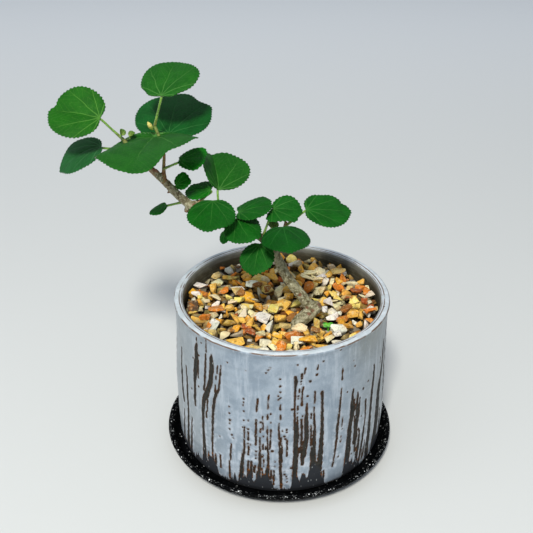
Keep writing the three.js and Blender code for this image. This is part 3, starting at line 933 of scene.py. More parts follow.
def vein_lines(graph: Graph, radius: float) -> tuple[Signal, Signal, Signal, Signal]:
    """Give the veins of a blade from the points' places on it.

    Args:
        graph: The material's nodes.
        radius: The blade's radius in mm.

    Returns:
        The main veins, the side veins, the distance to the finest net, and the noise that bends them.
    """
    spot = graph.vector("leaf_place")
    warp = graph.noise(6, 2, 0.5)
    ahead = spot.part("X")
    aside = spot.part("Y") + (warp - 0.5) * 0.09
    turn = graph.node("ShaderNodeMath", {"operation": "ARCTAN2"}, {0: aside, 1: ahead})
    reach = (ahead * ahead + aside * aside) ** 0.5
    away = ((turn / FAN + 0.5).fraction() - 0.5) * FAN * reach
    beside = abs(away)
    thin = 0.27 / radius
    taper = 1.5 - reach * 0.7
    lines = (beside / (taper * thin)).rise(1.0, 0.35) * reach.rise(1.85, 1.2)
    spacing = VEIN_SPACING / radius
    offset = ((reach - beside * 1.5) / spacing + (warp - 0.5) * 1.2).fraction() - 0.5
    fine = (abs(offset) * spacing / (thin * 0.62)).rise(1.0, 0.3) * reach.rise(0.12, 0.3)
    net = graph.cells(1.15, "DISTANCE_TO_EDGE")
    return lines, fine, net, warp


@dataclass(frozen=True)
class BladeUnder(Finish):
    """The paler, downy underside of a blade, with its veins standing out."""

    radius: float
    pale: Colour = srgb(78, 128, 72)
    deep: Colour = srgb(58, 106, 52)
    vein: Colour = srgb(128, 164, 98)

    def material(self) -> bpy.types.Material:
        """Make the material.

        Returns:
            The finished material.
        """
        graph = Graph(f"blade_under_{self.radius:.0f}")
        lines, fine, net, _ = vein_lines(graph, self.radius)
        colour = graph.mix(graph.noise(5, 3).rise(0.35, 0.65), self.deep, self.pale)
        colour = graph.mix(fine * 0.5, colour, self.vein)
        colour = graph.mix(lines * 0.85, colour, self.vein)
        height = lines * 0.8 + fine * 0.5 + net.rise(0.2, 0.0) * 0.4 + graph.noise(0.3, 2) * 0.3
        return graph.surface(Base_Color=colour, Roughness=0.66, Sheen_Weight=0.1, Sheen_Roughness=0.5,
                             Normal=graph.bump(height, 0.25, 0.8))


@dataclass(frozen=True)
class Stalk(Finish):
    """The smooth yellow-green leaf stalk, a little redder where it leaves the wood."""

    green: Colour = srgb(122, 168, 62)
    olive: Colour = srgb(86, 126, 40)
    blush: Colour = srgb(112, 92, 44)

    def material(self) -> bpy.types.Material:
        """Make the material.

        Returns:
            The finished material.
        """
        graph = Graph("leaf_stalk")
        along = graph.vector("leaf_place").part("Z")
        streaks = graph.noise(1.1, 3, 0.5)
        colour = graph.mix(streaks.rise(0.38, 0.64), self.olive, self.green)
        colour = graph.mix(along.rise(0.3, 0.0) * 0.6, colour, self.blush)
        return graph.surface(Base_Color=colour, Roughness=0.5 + streaks * 0.1, Sheen_Weight=0.2,
                             Normal=graph.bump(streaks, 0.1, 0.5))


@dataclass(frozen=True)
class Down(Finish):
    """The fine pale hairs on stalks and young leaves."""

    light: Colour = srgb(206, 214, 176)
    dark: Colour = srgb(150, 166, 112)

    def material(self) -> bpy.types.Material:
        """Make the material."""
        graph = Graph("leaf_down")
        return graph.surface(Base_Color=graph.mix(graph.noise(1.5, 2), self.dark, self.light), Roughness=0.6)


@dataclass(frozen=True)
class BudScale(Finish):
    """The bud's pale yellow scales, greener at the base."""

    tip: Colour = srgb(214, 200, 112)
    base: Colour = srgb(136, 160, 70)

    def material(self) -> bpy.types.Material:
        """Make the material.

        Returns:
            The finished material.
        """
        graph = Graph("crown_bud_scale")
        height = graph.value("along")
        colour = graph.mix((height + (graph.noise(1.2, 3) - 0.5) * 0.5).rise(0.15, 0.7), self.base, self.tip)
        return graph.surface(Base_Color=colour, Roughness=0.55,
                             Normal=graph.bump(graph.noise(0.5, 3), 0.12, 0.6))


@dataclass(frozen=True)
class SproutGreen(Finish):
    """The bright, soft green of a seedling."""

    light: Colour = srgb(84, 170, 28)
    deep: Colour = srgb(40, 120, 14)

    def material(self) -> bpy.types.Material:
        """Make the material.

        Returns:
            The finished material.
        """
        graph = Graph("sprout_green")
        patches = graph.noise(1.3, 3)
        rib = abs(graph.vector("leaf_place").part("Y")).rise(0.16, 0.03)
        colour = graph.mix(patches.rise(0.35, 0.65), self.deep, self.light)
        colour = graph.mix(rib * 0.5, colour, srgb(160, 210, 96))
        return graph.surface(Base_Color=colour, Roughness=0.5,
                             Normal=graph.bump(patches - rib * 0.5, 0.1, 0.5))


@dataclass(frozen=True)
class StudioPaper(Finish):
    """The plain pale floor, a little paler further back, where less light falls."""

    near: Colour = srgb(206, 209, 208)
    far: Colour = srgb(236, 240, 242)

    def material(self) -> bpy.types.Material:
        """Make the material.

        Returns:
            The finished material.
        """
        graph = Graph("studio_paper")
        back = graph.place().part("Y").rise(150, 1300)
        return graph.surface(Base_Color=graph.mix(back, self.near, self.far), Roughness=0.9)


# The saucer

@dataclass
class Saucer:
    """The shallow round dish that the pot stands on."""

    radius: float = 67.4
    height: float = 10
    floor: float = 3
    foot_radius: float = 54
    wall: float = 3
    shift: Point = (-0.6, -1.8, 0)
    sides: int = 288

    def profile(self) -> np.ndarray:
        """Give the rounded profile, from the middle of the underside to the middle of the floor.

        Returns:
            The profile's points, each a radius and a height.
        """
        lip = self.height
        corners = [
            (0, 0), (self.foot_radius, 0), (self.foot_radius + 6, 0.8), (self.radius - 4.4, 3.2),
            (self.radius - 1.9, lip - 3.7), (self.radius, lip - 1.4), (self.radius - 0.7, lip - 0.2),
            (self.radius - 1.7, lip), (self.radius - self.wall, lip - 1),
            (self.radius - self.wall - 1.4, self.floor + 2.6), (self.radius - self.wall - 4, self.floor),
            (0, self.floor),
        ]
        return closer(softened(corners, 1.4, 4), 3.2)

    def build(self) -> bpy.types.Object:
        """Build and dress the saucer.

        Returns:
            The finished piece.
        """
        shell = turned(self.profile(), self.sides)
        shell.points += np.array(self.shift)
        lip = shell.points[:, 2] > self.floor + 1
        swell = 0.12 * waves(shell.points[lip], 70, 5, 2)
        shell.points[lip, 2] += swell * (shell.points[lip, 2] - self.floor) / 9
        shell.points[:, 2] = np.minimum(shell.points[:, 2], self.height)
        shell.values = {"rim": np.clip((shell.points[:, 2] - self.height + 3.4) / 1.8, 0, 1)}
        piece = shell.to_object("saucer_speckled", [SpeckledBlack().material()])
        return fitted(piece, "saucer", "saucer")


# The pot

# A streak of bare clay, from its top to its foot: angles in degrees, heights and widths in mm
Mark = tuple[Point, ...]

# The streaks on the side that faces the camera, from left to right
FRONT_STREAKS: tuple[Mark, ...] = (
    ((-66.5, 76, 1.6), (-66.8, 66, 1.6), (-66, 60, 2.8), (-65.4, 53, 2.2), (-64.2, 46, 2.6),
     (-63.6, 42, 2.2)),
    ((-64, 36, 1), (-65.5, 25, 1.8), (-68, 12, 3)),
    ((-60.5, 68, 1.2), (-59.3, 60, 1.8), (-58.7, 50, 2.2), (-58.5, 42, 1.8), (-59.2, 32, 2.2),
     (-60.5, 22, 2.4), (-62, 10, 4.6)),
    ((-54.8, 37, 0.9), (-55.5, 31, 1.2), (-56.5, 22, 1.8), (-58.5, 10, 2.4)),
    ((-48.9, 93, 0.8), (-49.2, 91.4, 1.1)),
    ((-49, 89, 1.6), (-49.8, 85, 3), (-49.6, 80, 3.4), (-50.2, 76, 4), (-50.8, 70, 3.8), (-51.3, 65, 2.4),
     (-51, 58, 2), (-51.2, 53, 2.4), (-50.7, 48, 1)),
    ((-48.2, 79, 1.1), (-48.3, 68, 1.2)),
    ((-41, 96, 0.6), (-41.9, 90, 0.9)),
    ((-41.7, 89.4, 1.1), (-41.8, 88, 1.1)),
    ((-42.2, 86, 1.2), (-42.6, 80, 1.5), (-42.9, 72, 1.7), (-43.1, 67, 1.3), (-43.8, 63, 1.8)),
    ((-38.1, 88, 1), (-38.4, 84, 2.8), (-38.2, 80, 3.3), (-38.7, 74, 3), (-39.3, 69, 3.3), (-40.7, 64.5, 3.2),
     (-42, 60, 3.8), (-43.5, 57, 3), (-44.3, 50, 2.5), (-44.6, 42, 1.9), (-44.8, 34, 2.1), (-44.6, 26, 2.3),
     (-45, 16, 3)),
    ((-41, 58, 1.4), (-41.3, 50, 1)),
    ((-41.8, 48.6, 1.3), (-42, 45.4, 1.5)),
    ((-32.3, 83.5, 0.8), (-32.9, 76, 1.2), (-33.6, 68, 1.3), (-35, 65, 1.6), (-36.3, 61, 1.8), (-37, 55, 2),
     (-37.6, 46, 1.5), (-38.2, 36, 1.5), (-38.6, 26, 1.3), (-38.8, 17, 1.7)),
    ((-34.3, 82.5, 0.8), (-34.8, 77.5, 0.9)),
    ((-35.3, 75.6, 0.9), (-35.6, 73.4, 0.9)),
    ((-35.8, 70, 0.9), (-36, 65, 1.1)),
    ((-41.5, 21, 0.9), (-42.3, 15, 1.6)),
    ((-36.5, 22.5, 0.9), (-36.9, 15, 1.8)),
    ((-33.5, 23.5, 1), (-33.7, 14, 1.3)),
    ((-26.5, 35, 0.8), (-27, 29, 1.1), (-27.2, 23, 0.9)),
    ((-28, 22, 0.8), (-28.2, 9, 1.4)),
    ((-20.2, 33, 0.6), (-20.3, 29, 1)),
    ((-19.1, 49.5, 0.8), (-19.2, 40, 1), (-19.4, 32, 1.4), (-20.2, 28, 1.8), (-20.8, 20, 2.4),
     (-21.6, 12, 3)),
    ((-17, 46.5, 1), (-17.2, 41, 1.1)),
    ((-16.9, 36, 1.2), (-17.2, 30.5, 1.3)),
    ((-17.3, 26, 0.9), (-17.6, 14, 1.6)),
    ((-15.6, 26, 1.2), (-16, 14, 2.2)),
    ((-12.4, 68.5, 1.2), (-12.9, 60.5, 1.1)),
    ((-13.1, 55.5, 1.1), (-13.2, 38.5, 1.2)),
    ((-13.7, 23.5, 1.3), (-14.2, 18.5, 1.2)),
    ((-12.8, 19, 0.9), (-12.5, 12, 1.4)),
    ((-11, 50, 0.9), (-11, 47.6, 0.9)),
    ((-11, 44, 0.8), (-11.1, 36, 1.1), (-11.1, 26, 1.6), (-11.8, 18, 2.2), (-12, 12, 3)),
    ((-9.8, 58, 0.8), (-9.6, 49.5, 0.9)),
    ((-9.5, 39.5, 0.9), (-9.5, 36, 0.9)),
    ((-9.8, 32.2, 1), (-9.8, 30.5, 1)),
    ((-9.1, 29, 0.9), (-9.2, 24, 0.8)),
    ((-9.9, 22.5, 0.9), (-9.8, 16, 1)),
    ((-6.8, 71.5, 1.1), (-7.1, 67, 0.8), (-7.2, 63, 1)),
    ((-7.4, 59.5, 1), (-7.4, 56.5, 1.1)),
    ((-7.4, 52, 0.8), (-7.3, 38, 0.9), (-6.9, 33, 1)),
    ((-6.9, 32.5, 1.1), (-6.8, 29, 1.3), (-7, 24, 1.6), (-7.6, 18, 2.4), (-8.3, 12, 3)),
    ((-8.1, 38.2, 1.2), (-8.2, 36, 1)),
    ((-5.6, 50, 0.8), (-5.9, 42, 0.9), (-6.1, 37, 1)),
    ((-5.4, 21.5, 0.9), (-5.6, 15, 1.4)),
    ((-3.9, 21.5, 0.8), (-4.2, 11, 1.2)),
    ((-1.1, 66, 0.9), (-1.1, 63, 1)),
    ((-1.1, 59.5, 1), (-0.9, 57, 1.1)),
    ((-1.7, 52.5, 0.9), (-1.5, 44, 1.1), (-1.1, 38, 1.4), (-0.9, 30, 1.7), (-0.6, 20, 1.5), (-0.2, 9, 1.6)),
    ((-0.5, 45, 0.8), (-0.2, 36, 1.1), (0, 28, 0.8)),
    ((2.4, 43.5, 0.8), (2.4, 37, 1), (2.4, 32, 0.9)),
    ((6, 83, 1.4), (6.4, 80, 2), (6, 76, 1.3), (5.9, 68, 1), (5.9, 60, 1.1), (6, 55, 1.2), (6.6, 52, 2.6),
     (7, 46, 3), (7, 38, 3.2), (6.8, 30, 3), (6.6, 20, 2.8), (6.8, 10, 3)),
    ((7.4, 65, 1), (7.4, 62.5, 1)),
    ((7.3, 58, 0.8), (7.5, 50, 1.2)),
    ((8.2, 75.5, 0.9), (8.1, 73, 0.9)),
    ((9.1, 84.5, 1.2), (9.3, 82, 1.2)),
    ((10.8, 88, 0.9), (10.5, 84.6, 1)),
    ((9.9, 76.5, 1.1), (9.4, 70, 0.9), (9.3, 65, 1.1)),
    ((9.2, 56, 1.3), (9.6, 50, 1.2), (9.5, 40, 1.4), (9.4, 34, 1.6), (9.6, 28, 1.6)),
    ((12, 66, 1), (11.9, 61, 1.4), (11.7, 56, 2.2), (12, 50, 2.6), (12.2, 44, 2.6), (11.4, 38, 3),
     (10.8, 30, 2.6), (10.4, 25, 1.6)),
    ((14.2, 59, 1), (14.2, 56, 0.9)),
    ((14.3, 51.5, 0.8), (14.4, 45, 1), (14.7, 38, 1.2)),
    ((16, 72.5, 1), (15.9, 65.5, 1)),
    ((15.6, 63, 0.8), (15.8, 56, 1.1), (16.2, 50, 1.5), (16.2, 44, 1.9), (16, 38, 2.4), (15.8, 32, 3.4),
     (16.4, 26, 4), (16.6, 18, 5)),
    ((17.1, 88.5, 1), (17, 86, 1)),
    ((19.7, 71.5, 1.6), (20, 66, 1.4), (20, 60, 1.5), (20.1, 52, 1.7), (20.2, 44, 2.2), (20.1, 36, 2.6),
     (19.8, 28, 3), (19.2, 20, 4), (19, 12, 5)),
    ((22.3, 17.5, 1), (22.5, 12, 1.6)),
    ((31.2, 82.5, 0.9), (31.1, 75.5, 1.1)),
    ((30.8, 70, 0.8), (30.3, 62, 1), (29.7, 54, 1.3), (28.9, 45, 1.6), (29, 38, 1.4), (28.4, 30, 1.1),
     (27.8, 23, 1), (27.4, 18, 1.2)),
    ((31.9, 51, 0.7), (31.7, 45, 0.8)),
    ((31.3, 36, 0.9), (31.5, 34, 0.9)),
    ((38.6, 66, 1), (38.2, 62, 1.7), (37.9, 56, 2.6), (38.2, 51, 3.4), (37.3, 44, 3), (37, 36, 3.2),
     (36.8, 28, 3.6), (37, 20, 4.6), (37.4, 12, 5.4)),
    ((39.4, 59, 1.2), (39.8, 52, 1.7), (40.2, 46, 1.4), (40.8, 38, 1.5), (40.6, 28, 1.8)),
    ((42, 62, 1.2), (41.6, 56, 2), (41.8, 51, 2.8), (42.2, 46, 2.6), (41.8, 40, 2.2), (42.2, 32, 2),
     (42, 22, 2.2)),
    ((43.6, 58, 0.8), (43.2, 46, 0.9)),
    ((43.4, 37, 1), (44.6, 34, 1.6), (44.4, 26, 1.8), (44, 20, 2.4), (43.8, 12, 3)),
    ((48.4, 53.5, 1.5), (48.7, 46, 1.4), (48.9, 40, 1), (48.4, 36, 1.1), (48, 30, 1.8), (47.5, 24, 1.8),
     (47, 16, 1.8), (46.4, 10, 2)),
    ((50.1, 24, 0.8), (50, 12, 1)),
    ((48.8, 18, 0.8), (49.2, 10, 1)),
    ((55.7, 72, 1.3), (56.2, 69, 1.9), (55.4, 62, 2.1), (54.4, 56, 2.3), (53.8, 48, 2.3), (53.6, 40, 2.4),
     (53.6, 34, 3), (53.6, 28, 3.4), (53.2, 20, 3.6), (54, 9, 4.4)),
    ((63.9, 72, 0.8), (64.1, 68, 0.8)),
    ((69, 80, 1.6), (68.6, 73, 2.8), (67.6, 66, 2.6), (66.5, 62, 3), (65, 58, 3.6), (63.4, 54, 4.4),
     (62.4, 48, 5), (62.6, 40, 5.6), (63, 30, 6.4), (62.4, 20, 7), (62, 8, 8)),
    ((67.6, 34, 1.4), (69, 25, 2.4), (71, 18, 4), (74, 8, 6)),
    ((74, 88, 1), (72.5, 70, 1.8), (72, 52, 2.4), (73, 36, 2)),
)

# Scraps of glaze that stayed inside the wide streaks
FRONT_ISLANDS: tuple[Mark, ...] = (
    ((8.6, 45, 0.8), (8.4, 38, 1.2)), ((8.8, 33, 0.8), (8.8, 22, 1.4), (9.4, 15, 1)),
    ((12, 30, 1.4), (12.6, 24, 2), (12.9, 16, 1)), ((38.9, 44, 1), (38.8, 31, 1.1)),
    ((39, 23, 1.2), (38.8, 16, 1)), ((42, 17.5, 1.6), (42.2, 9, 1.6)), ((40.3, 51, 1), (40.2, 48.6, 0.9)),
    ((17.9, 29, 0.8), (17.9, 26, 0.8)), ((43, 30, 0.7), (42.6, 24, 0.8)), ((50.9, 18, 1), (51.6, 9, 1.2)),
)

# Single burst bubbles: angle in degrees, height and width in mm
FRONT_DOTS: tuple[Point, ...] = (
    (-53, 78, 1), (-54.3, 57, 1), (-48, 62.4, 1.2), (-47.5, 82.5, 1), (-28.4, 87, 1), (-27.4, 59.6, 1),
    (-27.3, 55.4, 1.2), (-27, 51, 1.4), (-27.1, 48.8, 1.2), (-27.2, 45, 1.2), (-26.2, 41.4, 1.1),
    (-25.2, 39.2, 1), (-33.4, 37, 0.9), (-19.8, 67, 1), (-19.7, 65, 0.9), (-19.9, 63, 0.9),
    (-19.4, 59.4, 1.1), (-19.5, 53.5, 0.9), (-17, 54, 1), (-17.1, 48.4, 1), (-19.9, 49, 1.1),
    (-17.3, 38.4, 1.1), (-15.9, 38, 1.1), (-13.1, 34, 1.2), (-13.2, 31.4, 1.2), (-13.1, 29, 1),
    (-10.9, 54, 1), (-9.4, 45, 1.1), (-5.8, 60, 1), (-5.8, 54.6, 0.9), (-4.9, 35.4, 1.6), (-3.6, 28, 1),
    (-3.6, 24.5, 1.1), (-1.6, 82, 0.9), (-1.4, 77.4, 1.4), (-1.2, 74, 1), (-2.2, 71.5, 1.1),
    (-1.2, 70.4, 1.1), (-2.1, 69.3, 1), (-1.6, 54, 1.1), (0.1, 49.4, 1.2), (2.2, 50.2, 1.1),
    (2.3, 48.5, 1.1), (1.2, 45.6, 1.2), (1.5, 44, 1.2), (1.6, 21, 1), (1.5, 18.5, 1.2), (2.4, 17, 1),
    (2.7, 15.4, 1), (2.8, 13, 1), (4.8, 23.4, 1.2), (4.7, 63, 1.3), (-7.2, 87, 1.1), (-6.3, 88.5, 0.9),
    (-8.3, 85.4, 0.9), (7, 90.4, 1.1), (20, 90.4, 1.1), (13.4, 79.5, 1.4), (12.2, 70.6, 1), (8.9, 80, 1),
    (8.8, 78.4, 1), (7.6, 71, 1), (7.6, 69.4, 1), (7.4, 60.4, 1), (16.8, 83, 1.3), (10, 58.4, 0.9),
    (31.8, 43, 1), (31.5, 38, 1), (30.5, 24, 1.1), (46.2, 62.4, 1.4), (39.1, 80.5, 1), (50.2, 65, 1),
    (29, 95, 0.8),
)

# How high bare clay reaches at the foot, as angle in degrees and height in mm
FRONT_FOOT = (
    (-75, 12), (-66, 12), (-62, 11), (-58, 11), (-56, 9), (-54, 9), (-53, 13), (-52, 10), (-51, 14),
    (-49.5, 9.5), (-48, 10), (-47, 13), (-46, 16), (-43.5, 15), (-42.5, 14), (-41.5, 18), (-40, 18),
    (-38, 19), (-37, 15), (-36, 13), (-35.7, 8), (-28.5, 7.5), (-28, 10), (-27.5, 9), (-26, 10.5),
    (-25.2, 16), (-24.3, 10), (-23.5, 9), (-22, 11), (-21, 14), (-19.5, 14), (-18, 15), (-16.5, 18),
    (-15.3, 16), (-14.8, 10), (-13.5, 13), (-12, 18), (-10.5, 16), (-8.5, 17), (-7, 18), (-6.3, 14),
    (-5.2, 15), (-4.4, 12), (-4, 8), (0, 7), (4.8, 8), (5.3, 14), (7, 18), (8.5, 16), (9.5, 13), (10.5, 19),
    (12, 18), (13, 13.5), (14, 20), (16, 24), (18, 22), (20, 20), (21, 14), (21.8, 12), (22.3, 15),
    (23, 10), (23.8, 6), (34.2, 5.5), (34.7, 14), (36, 20), (38, 18), (39, 13), (40.5, 17), (41.8, 12),
    (43.5, 18), (45, 14), (46.5, 11), (47.5, 6), (52, 7), (53, 12), (55, 10), (56.5, 6), (59, 8), (61, 14),
    (66, 16), (71, 14), (76, 6),
)


@dataclass
class Pot:
    """The glazed pot: a near-cylinder with a slight belly and a rounded lip."""

    height: float = 94
    foot_radius: float = 56.5
    belly_radius: float = 61
    neck_radius: float = 59.2
    lip_radius: float = 60.2
    bore_radius: float = 54.8
    floor: float = 6
    seat: float = 3.3
    drain_radius: float = 8
    sides: int = 648
    row_pitch: float = 0.9
    streak_reach: float = 3.0
    dot_growth: float = 1.15
    back_streaks: int = 70
    seed: int = 23

    def profile(self) -> np.ndarray:
        """Give the rounded profile from the drain hole outwards, up, over the lip and down inside.

        Returns:
            The profile's points, each a radius and a height.
        """
        top = self.height
        corners = [
            (self.drain_radius, 0), (self.foot_radius, 0), (self.foot_radius + 2.4, 1),
            (self.belly_radius - 0.7, 4.5), (self.belly_radius, 20), (self.belly_radius, 45),
            (self.neck_radius + 0.4, 75), (self.neck_radius + 0.1, top - 4), (self.lip_radius - 0.3, top - 2),
            (self.lip_radius, top - 1.1), (self.lip_radius - 0.5, top - 0.4), (self.lip_radius - 1.4, top),
            (self.bore_radius + 2.2, top - 0.1), (self.bore_radius + 0.5, top - 0.6),
            (self.bore_radius, top - 1.6),
            (self.bore_radius, self.floor + 3), (self.bore_radius - 3, self.floor),
            (self.drain_radius, self.floor), (self.drain_radius, 0.4),
        ]
        rounded = softened(corners, 0.8, 4)
        outer = rounded[:, 1] > 1
        outer &= rounded[:, 0] > self.neck_radius - 1
        last = int(np.nonzero(outer)[0].max())
        first = int(np.nonzero(outer)[0].min())
        wall = closer(rounded[first:last + 1], self.row_pitch)
        return np.vstack([closer(rounded[:first], 12)[:-1], wall, closer(rounded[last + 1:], 7)])

    def build(self) -> bpy.types.Object:
        """Build and dress the pot.

        Returns:
            The finished piece.
        """
        shell = turned(self.profile(), self.sides, closed=True)
        radius = np.hypot(shell.points[:, 0], shell.points[:, 1])
        height = shell.points[:, 2].copy()
        angle = np.degrees(np.arctan2(shell.points[:, 0], -shell.points[:, 1]))
        outside = (radius > self.bore_radius + 0.6) | (height > self.height - 0.6)
        shell.values = self._values(angle, height, radius, outside)
        self._throwing_marks(shell, radius, height, outside)
        shell.points[:, 2] += self.seat
        piece = shell.to_object("pot_glazed", [StreakedGlaze().material()])
        return fitted(piece, "glaze", "pot")

    def _throwing_marks(self, shell: Shell, radius: np.ndarray, height: np.ndarray,
                        outside: np.ndarray) -> None:
        """Give the wall the slight rings and waves that a thrown pot has.

        Args:
            shell: The pot's shell, which is changed.
            radius: Each point's radius.
            height: Each point's height above the pot's underside.
            outside: Which points lie on the outer wall or the lip.
        """
        rings = 0.05 * np.sin(height * 1.15 + 0.5 * waves(shell.points, 60, 3, 1))
        swell = 0.13 * waves(shell.points, 55, 4, 2)
        fade = np.clip((height - 6) / 10, 0, 1) * np.clip((self.height - 8 - height) / 6, 0.25, 1)
        change = np.where(outside, (rings + swell - 0.1) * fade, 0)
        shell.points[:, :2] *= (1 + change / np.maximum(radius, 1))[:, None]

    def _values(self, angle: np.ndarray, height: np.ndarray, radius: np.ndarray,
                outside: np.ndarray) -> dict[str, np.ndarray]:
        """Work out what the glaze has to know at each point.

        Args:
            angle: Each point's angle in degrees, 0 at the front.
            height: Its height above the pot's underside.
            radius: Its radius.
            outside: Whether it lies on the outer wall or the lip.

        Returns:
            The values by name.
        """
        level = height + self.seat
        streak = np.full(len(angle), -self.streak_reach)
        for mark in self._marks():
            streak = np.maximum(streak, self._inside_mark(mark, angle, level))
        for mark in FRONT_ISLANDS:
            streak = np.minimum(streak, -self._inside_mark(mark, angle, level))
        foot = np.interp(angle, *self._foot_line())
        lip = outside & (height > self.height - 0.75)
        wall = outside & (height > 1.2) & ~lip
        on_top = height > self.height - 0.35
        step_line = radius - (self.bore_radius + 2.3)
        corner_line = height - (self.height - 0.7)
        stained = np.exp(-((angle - 52) / 17) ** 2) * np.clip((level - 76) / 14, 0, 1)
        return {
            "streak": np.where(wall, streak, -self.streak_reach),
            "bare_foot": np.where(wall, foot - level, np.where(height < 3, 3.0, -20.0)),
            "inside": (~outside).astype(float),
            "lip": lip.astype(float),
            "break_line": np.where(on_top, step_line, np.where(lip | wall, corner_line, -8.0)),
            "stain": np.where(wall, stained, 0.0),
        }

    def _inside_mark(self, mark: Mark, angle: np.ndarray, level: np.ndarray) -> np.ndarray:
        """Give how deep each point lies inside a streak or a dot, in mm; outside it the number is negative.

        Args:
            mark: The streak or the dot.
            angle: Each point's angle in degrees.
            level: Each point's height in mm.

        Returns:
            The depth at each point, no lower than the reach.
        """
        scale = math.radians(1) * self.belly_radius
        best = np.full(len(angle), -self.streak_reach)
        for (angle_a, level_a, width_a), (angle_b, level_b, width_b) in zip(mark, mark[1:] or mark):
            x, y = ((angle - angle_a + 180) % 360 - 180) * scale, level - level_a
            way_x, way_y = (angle_b - angle_a) * scale, level_b - level_a
            share = np.clip((x * way_x + y * way_y) / max(way_x ** 2 + way_y ** 2, 1e-6), 0, 1)
            away = np.hypot(x - share * way_x, y - share * way_y)
            best = np.maximum(best, (width_a + (width_b - width_a) * share) / 2 - away)
        return best

    def _marks(self) -> list[Mark]:
        """Give all streaks and dots: the front's as seen, the back's from a seed.

        Returns:
            The streaks and dots.
        """
        chance = random.Random(self.seed)
        marks = list(FRONT_STREAKS)
        marks += [((angle, level, width * self.dot_growth),) for angle, level, width in FRONT_DOTS]
        for number in range(self.back_streaks):
            angle = 78 + (number + chance.uniform(-0.3, 0.3)) * 204 / self.back_streaks
            drift = chance.uniform(-2.5, 2.5)
            top = chance.choice((88, 82, 74, 66, 58, 50)) + chance.uniform(-4, 4)
            foot = max(6.0, top - chance.uniform(12, 62))
            if chance.random() < 0.2:
                while foot < top:
                    marks.append(((angle + chance.uniform(-0.5, 0.5), foot, chance.uniform(0.8, 1.5)),))
                    foot += chance.uniform(1.8, 5.2)
            else:
                width = chance.choice((0.8, 0.8, 0.9, 1.2, 1.6, 2.0))
                middle = (angle + drift * 0.6, (top + foot) / 2, width * chance.uniform(1.0, 1.8))
                marks.append(((angle, top, width), middle, (angle + drift, foot, width * 1.4)))
        return marks

    def _foot_line(self) -> tuple[list[float], list[float]]:
        """Give the angles and heights of the bare clay's upper edge all round.

        Returns:
            The angles from left to right in degrees, and the heights in mm.
        """
        chance = random.Random(self.seed + 1)
        angles = [angle for angle, _ in FRONT_FOOT]
        levels = [level for _, level in FRONT_FOOT]
        for angle in range(76, 181, 5):
            angles.append(float(angle))
            levels.append(chance.choice((1, 4, 8, 12, 17)) + chance.uniform(-2, 2))
        for angle in range(-78, -181, -5):
            angles.insert(0, float(angle))
            levels.insert(0, chance.choice((1, 4, 8, 12, 17)) + chance.uniform(-2, 2))
        return angles, levels


# The drain mesh

@dataclass
class DrainMesh:
    """The screen over the drain hole, which keeps its CAD solid."""

    node: str = "drain_mesh"

    def dress(self) -> None:
        """Give the CAD solid its finish."""
        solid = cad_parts[self.node]
        solid.data.materials.clear()
        solid.data.materials.append(DrainPlastic().material())
        LOG.info("%s keeps its CAD solid", self.node)


# The grit

class ChipTint(Enum):
    """The stones in the mix, each a colour."""

    OCHRE = srgb(240, 190, 80)
    AMBER = srgb(242, 174, 40)
    ORANGE = srgb(224, 132, 28)
    RUST = srgb(160, 72, 12)
    BROWN = srgb(150, 98, 34)
    CREAM = srgb(247, 234, 184)
    YELLOW = srgb(246, 222, 118)
    WHITE = srgb(244, 240, 226)
    GREY = srgb(232, 222, 192)
    STONE = srgb(218, 192, 124)
    DARK = srgb(72, 52, 30)


CHIP_SHARES = {
    ChipTint.OCHRE: 20, ChipTint.AMBER: 16, ChipTint.ORANGE: 7, ChipTint.RUST: 1, ChipTint.BROWN: 2,
    ChipTint.CREAM: 22, ChipTint.YELLOW: 11, ChipTint.WHITE: 14, ChipTint.GREY: 7, ChipTint.STONE: 7,
    ChipTint.DARK: 0.5,
}


@dataclass(frozen=True)
class KeyChip:
    """A chip that stands out: its place, length, width, thickness, heading in degrees and tint."""

    x: float
    y: float
    length: float
    width: float
    thickness: float
    heading: float
    tint: ChipTint


